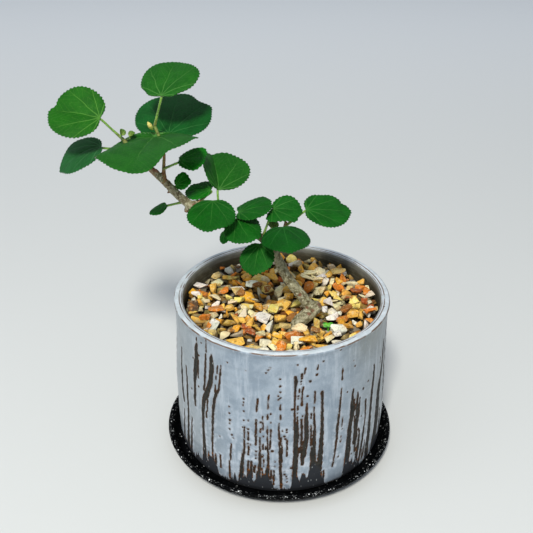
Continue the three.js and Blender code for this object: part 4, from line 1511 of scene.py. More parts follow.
KEY_CHIPS = (
    KeyChip(26, -6.5, 10, 7.2, 3.6, 115, ChipTint.WHITE),
    KeyChip(22.5, -16.5, 8.2, 6.2, 3.2, 10, ChipTint.WHITE),
    KeyChip(-5, -16, 9.4, 6.6, 3.2, 70, ChipTint.YELLOW),
    KeyChip(-2.5, -11.5, 6.6, 4.6, 3, 20, ChipTint.YELLOW),
    KeyChip(-35.5, -9.5, 11.4, 8.4, 4, -8, ChipTint.ORANGE),
    KeyChip(-49, -10, 8.6, 7.6, 5.4, 80, ChipTint.DARK),
    KeyChip(-41.5, -20.5, 7.6, 6.4, 4.2, 60, ChipTint.ORANGE),
    KeyChip(43, 8.5, 8.2, 6.8, 4.2, 20, ChipTint.RUST),
    KeyChip(46.5, -0.5, 5.6, 4.6, 3.4, -30, ChipTint.RUST),
    KeyChip(49, -7, 5.6, 5.2, 4, 70, ChipTint.RUST),
    KeyChip(49, 10, 8.2, 6.2, 4.4, 95, ChipTint.ORANGE),
    KeyChip(-30.5, 34, 7.2, 5.6, 3.8, -20, ChipTint.WHITE),
    KeyChip(34, 28, 11, 5, 3.6, -12, ChipTint.STONE),
    KeyChip(-11, -37.5, 7.4, 6, 3.2, 10, ChipTint.CREAM),
    KeyChip(13, -43, 11.2, 7.2, 3.8, 4, ChipTint.AMBER),
    KeyChip(9, -31.5, 9.2, 6.2, 3.4, -6, ChipTint.CREAM),
    KeyChip(-22, -14.5, 8.6, 6.4, 3.6, 70, ChipTint.GREY),
    KeyChip(27.5, 3.5, 7.4, 5.4, 3.2, 40, ChipTint.YELLOW),
    KeyChip(31.5, -1.5, 6.2, 5, 3.4, -10, ChipTint.YELLOW),
    KeyChip(17, -37, 5.8, 3.6, 3, -12, ChipTint.BROWN),
    KeyChip(-48.5, 5.5, 6.2, 4.8, 3.6, 10, ChipTint.WHITE),
    KeyChip(-44, 8.5, 9, 5.2, 3.2, -24, ChipTint.ORANGE),
    KeyChip(47.5, -16.5, 9.4, 5.2, 3.8, 4, ChipTint.ORANGE),
    KeyChip(38.5, -20, 7.4, 6.4, 5, 60, ChipTint.YELLOW),
    KeyChip(33.5, -26.5, 10, 4.6, 3.2, -40, ChipTint.AMBER),
    KeyChip(-20, -29.5, 6, 3, 2.6, -64, ChipTint.RUST),
    KeyChip(-14, 13, 7.4, 6, 4, 30, ChipTint.BROWN),
    KeyChip(-8, 6.5, 6.6, 5.4, 3.8, 80, ChipTint.BROWN),
    KeyChip(33, 14, 8.4, 4.8, 3.8, 110, ChipTint.AMBER),
    KeyChip(21.5, 16, 9, 4.2, 3.2, -40, ChipTint.CREAM),
)


@dataclass
class Grit:
    """The bed of crushed stone: a filling painted dark as the shade in the gaps between chips, and the loose
    chips that are dropped on it.

    A dropped chip that would lie too high, or in the wood, is left out.
    """

    radius: float = 54.4
    floor: float = 10.9
    level: float = GRIT_LEVEL
    bed_drop: float = 6
    cell: float = 0.7
    shapes: int = 40
    drops: int = 860
    lengths: tuple[float, float] = (4.4, 11.6)
    long_share: float = 1.2
    tries: int = 14
    lean: float = 0.4
    key_lean: float = 0.12
    bearing: float = 0.42
    sunk: float = 0.15
    seed: int = 8
    stub: tuple[Point, Point] = ((13.9, -20.5, 95.8), (5, -24, 84))
    stub_radius: float = 4.1
    sprout: Point = SPROUT_FOOT
    sprout_reach: float = 1.5

    def build(self) -> bpy.types.Object:
        """Build and dress the grit.

        Returns:
            The finished piece.
        """
        chance = random.Random(self.seed)
        prototypes = [self._stone(chance) for _ in range(self.shapes)]
        shells = [self._bed()]
        heap = self._heap_start()
        for _ in range(self.drops):
            shell = self._loose_chip(chance, prototypes, heap)
            if shell is not None:
                shells.append(shell)
        for number, key in enumerate(KEY_CHIPS):
            shells.append(self._key_chip(chance, prototypes[number % self.shapes], key, heap))
        shell = Shell.joined(shells)
        self._keep_inside(shell.points)
        piece = shell.to_object("grit_chips", [BrokenStone().material()])
        self._flat_faces(piece.data)
        LOG.info("grit has %d chips", len(shells) - 1)
        return fitted(piece, "grit", "grit")

    def _heap_start(self) -> np.ndarray:
        """Give the height map before any chip lies on the bed."""
        side = int(2 * self.radius / self.cell) + 1
        return np.full((side, side), self.level - self.bed_drop)

    def _bed(self) -> Shell:
        """Build the filling under the chips, with a lumpy top, painted dark brown as the shade in the gaps.

        Returns:
            The filling.
        """
        top = self.level - self.bed_drop
        profile = [(0, self.floor), (self.radius - 3, self.floor), (self.radius, self.floor + 2.4),
                   (self.radius, top)] + [(radius, top) for radius in np.linspace(self.radius - 2, 0, 28)]
        shell = turned(np.array(profile), 96)
        upper = shell.points[:, 2] > top - 0.01
        shell.points[upper, 2] += 0.8 * waves(shell.points[upper], 9, 6)
        # Painted shade: the filling's dark brown stands for the shade deep in the gaps between chips.
        shell.values = self._chip_values(len(shell.points), srgb(34, 25, 15), 0.2)
        return shell

    @staticmethod
    def _chip_values(count: int, tint: Colour, wear: float) -> dict[str, np.ndarray]:
        """Give every point of a chip the chip's own tint and wear."""
        return {"tint": np.tile(np.array(tint), (count, 1)), "wear": np.full(count, wear)}

    @staticmethod
    def _stone(chance: random.Random) -> Shell:
        """Break one stone: a hull of scattered points with its edges knocked off.

        Args:
            chance: Where its shape comes from.

        Returns:
            The stone, about one unit long, wide and thick.
        """
        mesh = bmesh.new()
        for _ in range(chance.randint(9, 13)):
            way = Vector([chance.gauss(0, 1) for _ in range(3)]).normalized()
            squared = way / max(abs(part) for part in way) ** 0.75
            mesh.verts.new(squared * 0.5 * chance.uniform(0.86, 1.0))
        hull = bmesh.ops.convex_hull(mesh, input=mesh.verts[:])
        spare = {item for key in ("geom_interior", "geom_unused") for item in hull[key]}
        bmesh.ops.delete(mesh, geom=[item for item in spare if isinstance(item, bmesh.types.BMVert)],
                         context="VERTS")
        bmesh.ops.dissolve_limit(mesh, angle_limit=math.radians(14), verts=mesh.verts[:], edges=mesh.edges[:])
        bmesh.ops.bevel(mesh, geom=mesh.edges[:] + mesh.verts[:], offset=0.045, segments=1, profile=0.5,
                        affect="EDGES", clamp_overlap=True)
        bmesh.ops.remove_doubles(mesh, verts=mesh.verts[:], dist=1e-4)
        mesh.verts.index_update()
        points = np.array([vertex.co[:] for vertex in mesh.verts])
        faces = [tuple(vertex.index for vertex in face.verts) for face in mesh.faces]
        mesh.free()
        return Shell(points, faces)

    def _loose_chip(self, chance: random.Random, prototypes: Sequence[Shell],
                    heap: np.ndarray) -> Optional[Shell]:
        """Drop one chip on the lowest of a few places.

        Args:
            chance: Where its shape, place and tint come from.
            prototypes: The stones to choose from.
            heap: The height map, which is changed.

        Returns:
            The chip, or nothing where it would lie too high.
        """
        low, high = self.lengths
        length = low + (high - low) * chance.random() ** self.long_share
        size = (length, length * chance.uniform(0.5, 0.84), length * chance.uniform(0.34, 0.6))
        spots = [self._random_spot(chance, self.radius - self.bearing * length) for _ in range(self.tries)]
        x, y = min(spots, key=lambda spot: self._read(heap, *spot))
        if self._by_wood(x, y, length * 0.4):
            return None
        tilt = (chance.gauss(0, self.lean), chance.gauss(0, self.lean), chance.uniform(0, 2 * math.pi))
        tints, shares = zip(*CHIP_SHARES.items())
        tint = chance.choices(tints, shares)[0]
        limit = self.level + chance.uniform(-0.6, 1.6)
        return self._laid(chance, chance.choice(prototypes), (x, y), size, tilt, tint, heap, limit)

    def _key_chip(self, chance: random.Random, prototype: Shell, key: KeyChip, heap: np.ndarray) -> Shell:
        """Lay one of the chips that stand out on top of the others, and sink it in a little.

        Args:
            chance: Where its lean, wear and shade come from.
            prototype: Its shape.
            key: Its place, size, heading and colour.
            heap: The height map, which is changed.

        Returns:
            The chip.
        """
        tilt = (chance.gauss(0, self.key_lean), chance.gauss(0, self.key_lean), math.radians(key.heading))
        size = (key.length, key.width, key.thickness)
        shell = self._laid(chance, prototype, (key.x, key.y), size, tilt, key.tint, heap, math.inf)
        shell.points[:, 2] -= self.sunk * key.thickness
        return shell

    def _laid(self, chance: random.Random, prototype: Shell, spot: tuple[float, float], size: Point,
              tilt: Point, tint: ChipTint, heap: np.ndarray, limit: float) -> Optional[Shell]:
        """Lay a chip on what lies below it.

        Args:
            chance: Where its wear and shade come from.
            prototype: Its shape.
            spot: Its place.
            size: Its length, width and thickness.
            tilt: How it is turned about X, Y and Z, in radians.
            tint: Its colour.
            heap: The height map, which is changed.
            limit: How high its middle may lie.

        Returns:
            The chip, or nothing where it would lie too high.
        """
        turn = np.array(Euler(tilt).to_matrix())
        points = (prototype.points * np.array(size)) @ turn.T
        rows, columns = self._window(spot, size[0] / 2, heap.shape[0])
        ys, xs = np.meshgrid(rows * self.cell - self.radius - spot[1],
                             columns * self.cell - self.radius - spot[0], indexing="ij")
        local = np.stack([xs, ys], axis=-1) @ turn[:2, :2]
        long, wide, thick = (self.bearing * part for part in size)
        inside = (local[..., 0] / long) ** 2 + (local[..., 1] / wide) ** 2 < 1
        if not inside.any():
            return None
        normal = turn[:, 2] / max(turn[2, 2], 0.3)
        plane = -(normal[0] * xs + normal[1] * ys)
        below = heap[np.ix_(rows, columns)]
        middle = float(np.percentile((below - plane)[inside], 62)) + 0.4 * size[2]
        if middle > limit:
            return None
        top = np.where(inside, plane + middle + thick, -math.inf)
        heap[np.ix_(rows, columns)] = np.maximum(below, top)
        points += np.array([spot[0], spot[1], middle])
        shade = chance.uniform(0.86, 1.12)
        parts = [min(1.0, part * shade * chance.uniform(0.94, 1.06)) for part in tint.value[:3]]
        wear = 0.15 if tint in (ChipTint.WHITE, ChipTint.GREY) else chance.uniform(0.3, 1)
        return Shell(points, prototype.faces, [], self._chip_values(len(points), (*parts, 1.0), wear))

    def _window(self, spot: tuple[float, float], reach: float, side: int) -> tuple[np.ndarray, np.ndarray]:
        """Give the rows and columns of the height map that lie near a spot.

        Args:
            spot: The middle of the window.
            reach: How far it goes to each side.
            side: How many cells lie along a side of the map.

        Returns:
            The rows and the columns.
        """
        def span(middle: float) -> np.ndarray:
            """Give the cells from one reach before the middle to one after it.

            Args:
                middle: The window's middle along one axis.

            Returns:
                The numbers of the cells.
            """
            first = int((middle + self.radius - reach) / self.cell)
            last = int((middle + self.radius + reach) / self.cell) + 1
            return np.arange(max(first, 0), min(last, side))

        return span(spot[1]), span(spot[0])

    def _read(self, heap: np.ndarray, x: float, y: float) -> float:
        """Give the height of the heap at a place.

        Args:
            heap: The height map.
            x: The place along X.
            y: The place along Y.

        Returns:
            The height in mm.
        """
        last = heap.shape[0] - 1
        row = min(max(round((y + self.radius) / self.cell), 0), last)
        column = min(max(round((x + self.radius) / self.cell), 0), last)
        return float(heap[row, column])

    @staticmethod
    def _random_spot(chance: random.Random, reach: float) -> tuple[float, float]:
        """Give a place within a circle."""
        away, turn = reach * math.sqrt(chance.random()), chance.uniform(0, 2 * math.pi)
        return away * math.cos(turn), away * math.sin(turn)

    def _by_wood(self, x: float, y: float, margin: float) -> bool:
        """Tell whether a chip would lie in the stub or on the sprout.

        Args:
            x: The chip's place along X.
            y: The chip's place along Y.
            margin: How far the chip reaches out.

        Returns:
            Whether it would.
        """
        if math.hypot(x - self.sprout[0], y - self.sprout[1]) < self.sprout_reach:
            return True
        top, foot = (np.array(end) for end in self.stub)
        share = (self.level - foot[2]) / (top[2] - foot[2])
        middle = foot + (top - foot) * share
        return math.hypot(x - middle[0], y - middle[1]) < self.stub_radius + margin * 0.6

    def _keep_inside(self, points: np.ndarray) -> None:
        """Press the points that stand outside the pot's bore back into it."""
        away = np.hypot(points[:, 0], points[:, 1])
        points[:, :2] *= np.minimum(1, self.radius / np.maximum(away, 1e-6))[:, None]

    @staticmethod
    def _flat_faces(mesh: bpy.types.Mesh) -> None:
        """Let each point take its normal mostly from its largest face, so that broken faces look flat.

        Args:
            mesh: The mesh, which is changed.
        """
        normals = np.zeros((len(mesh.vertices), 3))
        for face in mesh.polygons:
            weight = np.array(face.normal) * face.area ** 2
            for corner in face.vertices:
                normals[corner] += weight
        lengths = np.linalg.norm(normals, axis=1, keepdims=True)
        mesh.normals_split_custom_set_from_vertices((normals / np.maximum(lengths, 1e-30)).tolist())


# The wood

@dataclass(frozen=True)
class Limb:
    """One limb of the wood: its points, its radius at each, how young it is at its two ends."""

    points: tuple[Point, ...]
    radii: tuple[float, ...]
    youth: tuple[float, float] = (0, 0)


LIMBS = {
    "stub": Limb(((19.8, -19.6, 101), (17.5, -19, 99), (13.9, -20.5, 95.8), (9.2, -22.7, 92.4), (5, -24, 84),
                  (3, -24.5, 74)),
                 (2.8, 3.8, 3.9, 3.8, 3.4, 2.6)),
    "stem": Limb(((15, -18.8, 99), (10, -18.2, 106.5), (5.5, -17.5, 112.5), (1.5, -16.5, 118),
                  (-2, -15.2, 125.5), (-5.5, -14, 132.5), (-12, -12, 138), (-31, -10, 147.5),
                  (-48, -9, 155), (-60, -8, 167), (-67.5, -7, 174.5), (-75, -6, 182), (-80.5, -5, 189.5)),
                 (3.2, 3, 2.9, 2.8, 2.5, 2.3, 2.2, 2.2, 2.4, 2, 1.8, 1.4, 0.9), (0, 1)),
    "crown_shoot": Limb(((-60.5, -8, 167.5), (-60.3, -7, 175), (-60, -5.5, 181.5), (-62.5, -2.5, 190),
                         (-64.5, -1, 194.5)), (1.5, 0.95, 0.85, 0.9, 0.8), (0.9, 1)),
    "side_twig": Limb(((-5.5, -14, 132.5), (-2.5, -12.3, 138), (0.5, -11, 142.2), (1.6, -10, 146)),
                      (1.9, 1.3, 1.1, 0.8), (0.35, 0.9)),
    "knuckle_stub": Limb(((-47.5, -9, 155), (-49.5, -9, 152.2), (-50.3, -9.2, 150.8)),
                         (1.9, 1.5, 1.1), (0.5, 0.6)),
    "knuckle_twig": Limb(((-47.5, -9, 155), (-45, -8.5, 156), (-42.3, -8, 156.8)),
                         (1.8, 1.1, 0.8), (0.5, 0.9)),
    "scar_stub": Limb(((-56.5, -8.2, 163.5), (-58, -8.4, 162), (-59.2, -8.5, 161.2)),
                      (1.2, 1, 0.6), (0.5, 0.7)),
    "fork_stub": Limb(((-61.5, -8, 168.5), (-63, -8.5, 172), (-64, -8.8, 174.5)),
                      (1.5, 1.1, 0.6), (0.5, 0.9)),
}


@dataclass
class Wood:
    """The woody plant: the stub, the leaning stem, its shoots, twigs and dead stubs, grown as one."""

    voxel: float = 0.34
    sides: int = 24
    steps: int = 12
    ring_pitch: float = 8.5
    ring_height: float = 0.28
    lump: float = 0.22
    scars: tuple[Point, ...] = (
        (19.8, -19.6, 101), (-50.3, -9.2, 150.8), (-59.2, -8.5, 161.2), (-64, -8.8, 174.5),
        (16.2, -22.4, 99.3), (14.2, -23.6, 97.9), (13.2, -21.4, 100.6), (9.2, -20.6, 108),
        (-45.5, -10.8, 155.5), (-9, -14.4, 135.8),
    )
    scar_size: float = 1.7
    stub_top: float = 100.4

    def build(self) -> bpy.types.Object:
        """Build and dress the wood.

        Returns:
            The finished piece.
        """
        lines = {name: smooth_line(limb.points, self.steps * len(limb.points))
                 for name, limb in LIMBS.items()}
        shells = []
        for name, limb in LIMBS.items():
            line = lines[name]
            radii = np.interp(np.linspace(0, 1, len(line)), np.linspace(0, 1, len(limb.radii)), limb.radii)
            shells.append(tube(line, self._ringed(line, radii), self.sides))
        skin = self._one_skin(Shell.joined(shells))
        self._weather(skin, lines)
        piece = skin.to_object("trunk_wood", [Bark().material()])
        return fitted(piece, "bark", "trunk")

    def _ringed(self, line: np.ndarray, radii: np.ndarray) -> np.ndarray:
        """Swell a limb's radius at its leaf rings.

        Args:
            line: The limb's middle line.
            radii: Its radius at each point of the line.

        Returns:
            The swollen radii.
        """
        steps = np.linalg.norm(np.diff(line, axis=0), axis=1)
        run = np.concatenate([[0], np.cumsum(steps)])
        off = (run / self.ring_pitch + 0.35 * np.sin(run * 0.31)) % 1 - 0.5
        return radii + self.ring_height * np.minimum(1, radii / 2.2) * (np.exp(-(off / 0.11) ** 2) - 0.25)

    def _one_skin(self, shell: Shell) -> Shell:
        """Grow overlapping limbs together into one even skin.

        Args:
            shell: The limbs, each closed.

        Returns:
            The skin as a new shell.
        """
        rough = bpy.data.objects.new("limbs", shell.to_mesh("limbs", 1))
        bpy.context.scene.collection.objects.link(rough)
        remesh = rough.modifiers.new("skin", "REMESH")
        remesh.mode = "VOXEL"
        remesh.voxel_size = self.voxel
        soft = rough.modifiers.new("soft", "SMOOTH")
        soft.iterations = 2
        soft.factor = 0.5
        grown = rough.evaluated_get(bpy.context.evaluated_depsgraph_get()).to_mesh()
        points = np.empty(len(grown.vertices) * 3)
        grown.vertices.foreach_get("co", points)
        faces = [tuple(face.vertices) for face in grown.polygons]
        bpy.data.objects.remove(rough)
        return Shell(points.reshape(-1, 3), faces)

    def _weather(self, skin: Shell, lines: dict[str, np.ndarray]) -> None:
        """Give the skin its lumps, its dark torn places and its youth.

        Args:
            skin: The skin, which is changed.
            lines: The middle of each limb.
        """
        middles = np.vstack(list(lines.values()))
        youths = np.concatenate([np.linspace(*LIMBS[name].youth, len(line)) for name, line in lines.items()])
        nearest = np.empty(len(skin.points), dtype=int)
        for start in range(0, len(skin.points), 4000):
            chunk = skin.points[start:start + 4000]
            nearest[start:start + 4000] = ((chunk[:, None] - middles) ** 2).sum(axis=2).argmin(axis=1)
        youth = np.clip(youths[nearest], 0, 1) ** 1.6
        outward = skin.points - middles[nearest]
        outward /= np.maximum(np.linalg.norm(outward, axis=1, keepdims=True), 1e-6)
        size = self.lump * (1 - 0.6 * youth)
        relief = size * (0.6 * waves(skin.points, 5.5, 1) + 0.5 * waves(skin.points, 1.9, 2, 2)) - 0.06
        scar = np.zeros(len(skin.points))
        for number, place in enumerate(self.scars):
            reach = self.scar_size * (1.4 if number < 4 else 0.75)
            scar = np.maximum(scar, np.exp(-((skin.points - np.array(place)) ** 2).sum(axis=1) / reach ** 2))
        skin.points += outward * (relief - 0.22 * scar * (1 + waves(skin.points, 1.1, 7, 1)))[:, None]
        owners = np.concatenate([np.full(len(line), name == "stub") for name, line in lines.items()])
        old = (owners & (middles[:, 2] < self.stub_top))[nearest].astype(float)
        skin.values = {"youth": youth, "scar": scar, "old": old}


# The leaves

@dataclass(frozen=True)
class LeafForm:
    """A leaf's place and bearing, as the CAD source has them, its tone and the dents in its margin.

    A dent is the angle about the blade's middle in degrees, its depth as a share of the radius (less than 0
    for a lobe) and how far it reaches to each side in degrees.
    """

    joint: Point
    root: Point
    heading: float
    rise: float
    roll: float
    width: float
    fold: float
    curl: float
    arch: float
    wave: float
    phase: float
    tone: LeafTone
    dents: tuple[Point, ...] = ()


LEAVES = {
    "leaf_crown_top": LeafForm((-60.2, -2, 209.8), (-64.3, -1, 194.2), 79, 29, -7, 30,
                               0.15, 0.25, 0.4, 0.05, -0.9, LeafTone.FRESH,
                               ((92, 0.05, 30), (-75, -0.06, 25), (132, 0.16, 22), (-138, 0.1, 16))),
    "leaf_crown_back": LeafForm((-58.5, 5.4, 187.7), (-60.2, -5.5, 181.8), 87, 21, 0, 40.6,
                                0.03, 0.21, 0.25, 0.03, -1.3, LeafTone.DIM,
                                ((-13, -0.13, 15), (-62, -0.07, 11), (-40, 0.07, 15))),
    "leaf_far_left": LeafForm((-90.1, -6, 199.9), (-80.3, -5, 189), 170, 11, -38, 29.2,
                              0.13, 0.31, 0.09, 0.04, -0.9, LeafTone.BRIGHT,
                              ((-12, 0.1, 9), (8, -0.03, 14))),
    "leaf_lower_left": LeafForm((-92.5, 1.1, 182.7), (-76.2, -5.5, 183.2), -162, -3, -9, 26.6,
                                0.1, 0.87, 0.25, 0.01, 1.8, LeafTone.DUSK,
                                ((-75, -0.14, 22), (-8, -0.09, 14), (150, 0.13, 20))),
    "leaf_crown_front": LeafForm((-64.6, -0.3, 188.3), (-70, -7, 177.5), -98, 12, 11, 51,
                                 0.14, 0.3, 0.36, 0.1, -2.2, LeafTone.FRESH,
                                 ((15, -0.19, 12), (43, 0.13, 12), (145, -0.14, 20), (-62, 0.15, 18),
                                  (-15, -0.08, 12), (-122, -0.22, 20))),
    "leaf_fork": LeafForm((-52, -8, 178.9), (-60.8, -8, 174), -1, 14, 13, 16.8,
                          0.02, 0.22, 0.13, 0.06, -2.4, LeafTone.DEEP,
                          ((-5, 0.33, 26), (55, -0.16, 16), (-82, -0.19, 22))),
    "leaf_fork_small": LeafForm((-54.7, -8, 165.4), (-57.5, -8, 163.5), 6, 29, 37, 9.3,
                                0.09, 0.15, 0, 0.06, -2.5, LeafTone.DEEP,
                                ((3, 0.18, 14), (60, -0.14, 14), (-38, -0.12, 14))),
    "leaf_middle_tall": LeafForm((-33.1, -6.2, 162.4), (-33, -10, 148.5), 96, 25, 28, 28.6,
                                 0.58, 0.3, 0, 0.04, 2.7, LeafTone.FRESH,
                                 ((-70, -0.12, 45), (-8, -0.08, 30), (-18, -0.13, 16), (65, 0.3, 38))),
    "leaf_middle_back": LeafForm((-37.5, -3, 160.6), (-42.3, -8, 156.8), 167, -7, -12, 15.1,
                                 0.08, 0.09, 0.12, 0.04, -2.7, LeafTone.DEEP,
                                 ((-110, -0.16, 36), (90, -0.15, 30), (-70, 0.14, 14))),
    "leaf_knuckle": LeafForm((-60.1, -10, 155.6), (-51, -9, 156.5), -157, -22, 5, 10.4,
                             0.08, 0.06, 0.32, 0.02, 2.5, LeafTone.DEEP,
                             ((85, -0.13, 30), (-90, -0.12, 30))),
    "leaf_middle_front": LeafForm((-35.6, -14, 159.5), (-38.5, -9.5, 151), -91, -8, -1, 24.1,
                                  0.06, 0.28, 0.45, 0.02, 0.3, LeafTone.LUSH,
                                  ((85, -0.03, 30), (-80, -0.04, 32), (-15, -0.08, 14))),
    "leaf_waist_front": LeafForm((-24, -15.6, 150.4), (-25, -10.5, 145), -65, -11, 11, 19.7,
                                 0, 0.2, 0.45, 0.02, 0.1, LeafTone.LUSH,
                                 ((30, -0.13, 14), (112, -0.16, 16))),
    "leaf_waist_back": LeafForm((-22.4, -12.9, 152.6), (-19, -9.4, 142.8), -6, 26, 8, 19.8,
                                0.07, 0.38, 0.26, 0, 2.8, LeafTone.LUSH,
                                ((70, -0.15, 16), (5, 0.12, 14), (152, -0.18, 14), (-165, -0.14, 18))),
    "leaf_right_inner": LeafForm((-5.5, -13, 154.4), (-10.5, -12, 138), -10, 11, 24, 16.6,
                                 0.16, 0.49, 0.16, 0.05, -2.8, LeafTone.LUSH,
                                 ((-57, -0.22, 15), (-138, -0.42, 26))),
    "leaf_far_right": LeafForm((11.9, -10, 153), (1, -10.7, 143.5), 5, -2, 17, 25.2,
                               0.07, 0.17, 0.18, 0.03, 2.2, LeafTone.LUSH,
                               ((34, 0.12, 9), (68, -0.04, 14), (95, 0.1, 18))),
    "leaf_right_front": LeafForm((-0.3, -20, 147.8), (0, -11.3, 141), -83, 5, 2, 25.2,
                                 0.07, 0.34, 0.62, 0.01, 2.1, LeafTone.SHADY,
                                 ((0, -0.05, 22), (-58, 0.06, 22))),
    "leaf_low": LeafForm((-12, -18, 136.9), (-8.5, -13, 135), -105, -34, 6, 18.7,
                         0.01, 0.14, 0.24, 0.04, -0.1, LeafTone.LUSH),
    "leaf_low_small": LeafForm((-29.9, -14, 142), (-31, -10.5, 146), -111, -50, 20, 7,
                               0, 0.2, 0.3, 0, 0, LeafTone.DEEP),
    "leaf_young_twig": LeafForm((-4.7, -11.1, 142.2), (-3, -12.6, 137.5), 111, 20, 11, 6.5,
                                0.5, 0, 0, 0, 0, LeafTone.YOUNG),
    "leaf_young_left": LeafForm((-79.7, -7.7, 191.6), (-80.2, -5.8, 188.6), 103, 60, 36, 3.6,
                                0.7, 0, 0, 0, 0, LeafTone.YOUNG),
    "leaf_young_right": LeafForm((-77.2, -1.7, 189), (-79.2, -5, 188), 20, 30, 20, 3.6,
                                 0.7, 0, 0, 0, 0, LeafTone.YOUNG),
}


def bend(distance: np.ndarray, height: np.ndarray, turn: float, span: float) -> tuple[np.ndarray, np.ndarray]:
    """Bend a strip into an arc.

    Args:
        distance: How far along the strip each point lies.
        height: How high above it.
        turn: How far the strip turns over its span, in radians.
        span: The strip's length.

    Returns:
        How far along and how high each point comes to lie.
    """
    if turn == 0:
        return distance, height
    radius = span / turn
    angle = distance / radius
    return (radius + height) * np.sin(angle), (radius + height) * np.cos(angle) - radius


@dataclass
class Leaf:
    """A round, toothed, heart-based leaf and its stalk."""

    name: str
    form: LeafForm
    centre: float = 0.82
    notch_depth: float = 0.15
    notch_width: float = 0.35
    tip_length: float = 0.07
    tip_width: float = 0.2
    thickness: float = 0.42
    tooth_pitch: float = 2.0
    tooth_depth: float = 0.42
    pucker: float = 0.018
    stalk_radius: float = 0.62
    stalk_sides: int = 12
    stalk_steps: int = 26
    hairs: int = 70
    hair_width: float = 0.035
    hair_lengths: tuple[float, float] = (0.25, 0.55)
    solid_thickness: float = 0.75

    def build(self) -> bpy.types.Object:
        """Build and dress the leaf.

        Returns:
            The finished piece.
        """
        blade = self._blade()
        stalk = self._stalk()
        hairs = self._down(stalk)
        radius = self.form.width / 2
        materials = [BladeTop(self.form.tone, radius).material(), BladeUnder(radius).material(),
                     Stalk().material(), Down().material()]
        piece = Shell.joined([blade, stalk, hairs]).to_object(self.name.replace("leaf_", "blade_"), materials)
        slot = "young_leaf" if self.form.tone is LeafTone.YOUNG else "leaf"
        return fitted(piece, slot, self.name)

    def _frame(self) -> np.ndarray:
        """Give the blade's own axes as columns: along the midrib, across it, and up.

        Returns:
            The three axes.
        """
        form = self.form
        turn = (Matrix.Rotation(math.radians(form.heading), 3, "Z")
                @ Matrix.Rotation(math.radians(-form.rise), 3, "Y")
                @ Matrix.Rotation(math.radians(form.roll), 3, "X"))
        return np.array(turn)

    def _in_place(self, local: np.ndarray) -> np.ndarray:
        """Bring points from the blade's own frame to where they belong."""
        return local @ self._frame().T + np.array(self.form.joint)

    def _surface(self, turn: np.ndarray, reach: float, tooth: np.ndarray,
                 depth: float) -> tuple[np.ndarray, np.ndarray]:
        """Give points of the blade on one ring.

        Args:
            turn: The angle about the blade's middle.
            reach: The ring: 0 at the joint, 1 at the margin.
            tooth: How far the margin stands out there, as a share of the radius.
            depth: How deep below the upper face the points lie.

        Returns:
            The points in place, and their flat places as shares of the radius.
        """
        form = self.form
        radius = form.width / 2
        tip = self.tip_length * np.exp(-(turn / self.tip_width) ** 2)
        notch = self.notch_depth * np.exp(-((np.pi - np.abs(turn)) / self.notch_width) ** 2)
        swell = 1 + tooth * reach ** 10 + tip - notch - self._dent(turn) * reach ** 2
        flat = np.stack([reach * (self.centre + swell * np.cos(turn)), reach * swell * np.sin(turn)], axis=1)
        height = form.fold * np.abs(flat[:, 1]) * radius
        height = height + form.wave * radius * reach ** 2 * np.sin(3 * turn + form.phase)
        height = height + self._quilt(flat) * radius
        across, lift = bend(flat[:, 1] * radius, height - depth, form.arch, radius)
        along, up = bend(flat[:, 0] * radius, lift, form.curl, radius * (1 + self.centre))
        return self._in_place(np.stack([along, across, up], axis=1)), flat

    def _dent(self, turn: np.ndarray) -> np.ndarray:
        """Give how far the margin is dented in, as a share of the radius.

        Args:
            turn: The angle about the blade's middle.

        Returns:
            The depth of the dents.
        """
        depth = np.zeros(len(turn))
        for middle, share, width in self.form.dents:
            off = (np.degrees(turn) - middle + 180) % 360 - 180
            depth += share * np.exp(-(off / width) ** 2)
        return depth

    def _quilt(self, flat: np.ndarray) -> np.ndarray:
        """Give the swell between the veins, as a share of the radius.

        Args:
            flat: The points' flat places, as shares of the radius.

        Returns:
            The height of the swell.
        """
        turn = np.arctan2(flat[:, 1], flat[:, 0])
        reach = np.hypot(flat[:, 0], flat[:, 1])
        between = np.abs(np.sin(np.pi * turn / FAN))
        side = 0.5 + 0.5 * np.cos(2 * np.pi * reach * self.form.width / 2 / VEIN_SPACING)
        return self.pucker * (between ** 0.6 * (0.8 + 0.25 * side) - 0.7) * reach * np.clip(1.9 - reach, 0, 1)

    def _blade(self) -> Shell:
        """Build the blade: its upper face, its rounded edge and its underside.

        Returns:
            The blade as one closed skin.
        """
        radius = self.form.width / 2
        teeth = max(14, round(2 * math.pi * radius / self.tooth_pitch))
        count = teeth * 4
        turn = np.linspace(-np.pi, np.pi, count, endpoint=False)
        depth = min(self.tooth_depth, 0.05 * radius) / radius
        chance = np.random.default_rng(round(radius * 100))
        sizes = np.repeat(chance.uniform(0.6, 1.15, teeth), 4)
        steps = np.array([-0.9, 0.25, 0.75, -0.2])
        mirrored = np.where(turn < 0, np.tile(steps[[0, 3, 2, 1]], teeth), np.tile(steps, teeth))
        tooth = depth * sizes * mirrored - 0.25 * depth
        rings = max(7, round(radius * 0.95))
        reaches = list(np.linspace(0, 1, rings + 1)[1:] ** 0.9)
        upper = [(reach, 0.0) for reach in reaches[:-1]] + [(0.988, 0.02), (1.0, 0.14)]
        lower = [(1.0, 0.28), (0.985, self.thickness)]
        lower += [(reach, self.thickness) for reach in reversed(reaches[:-1:2])]
        rows = [self._surface(turn, reach, tooth, down) for reach, down in upper + lower]
        return self._stitched(rows, count, len(upper))

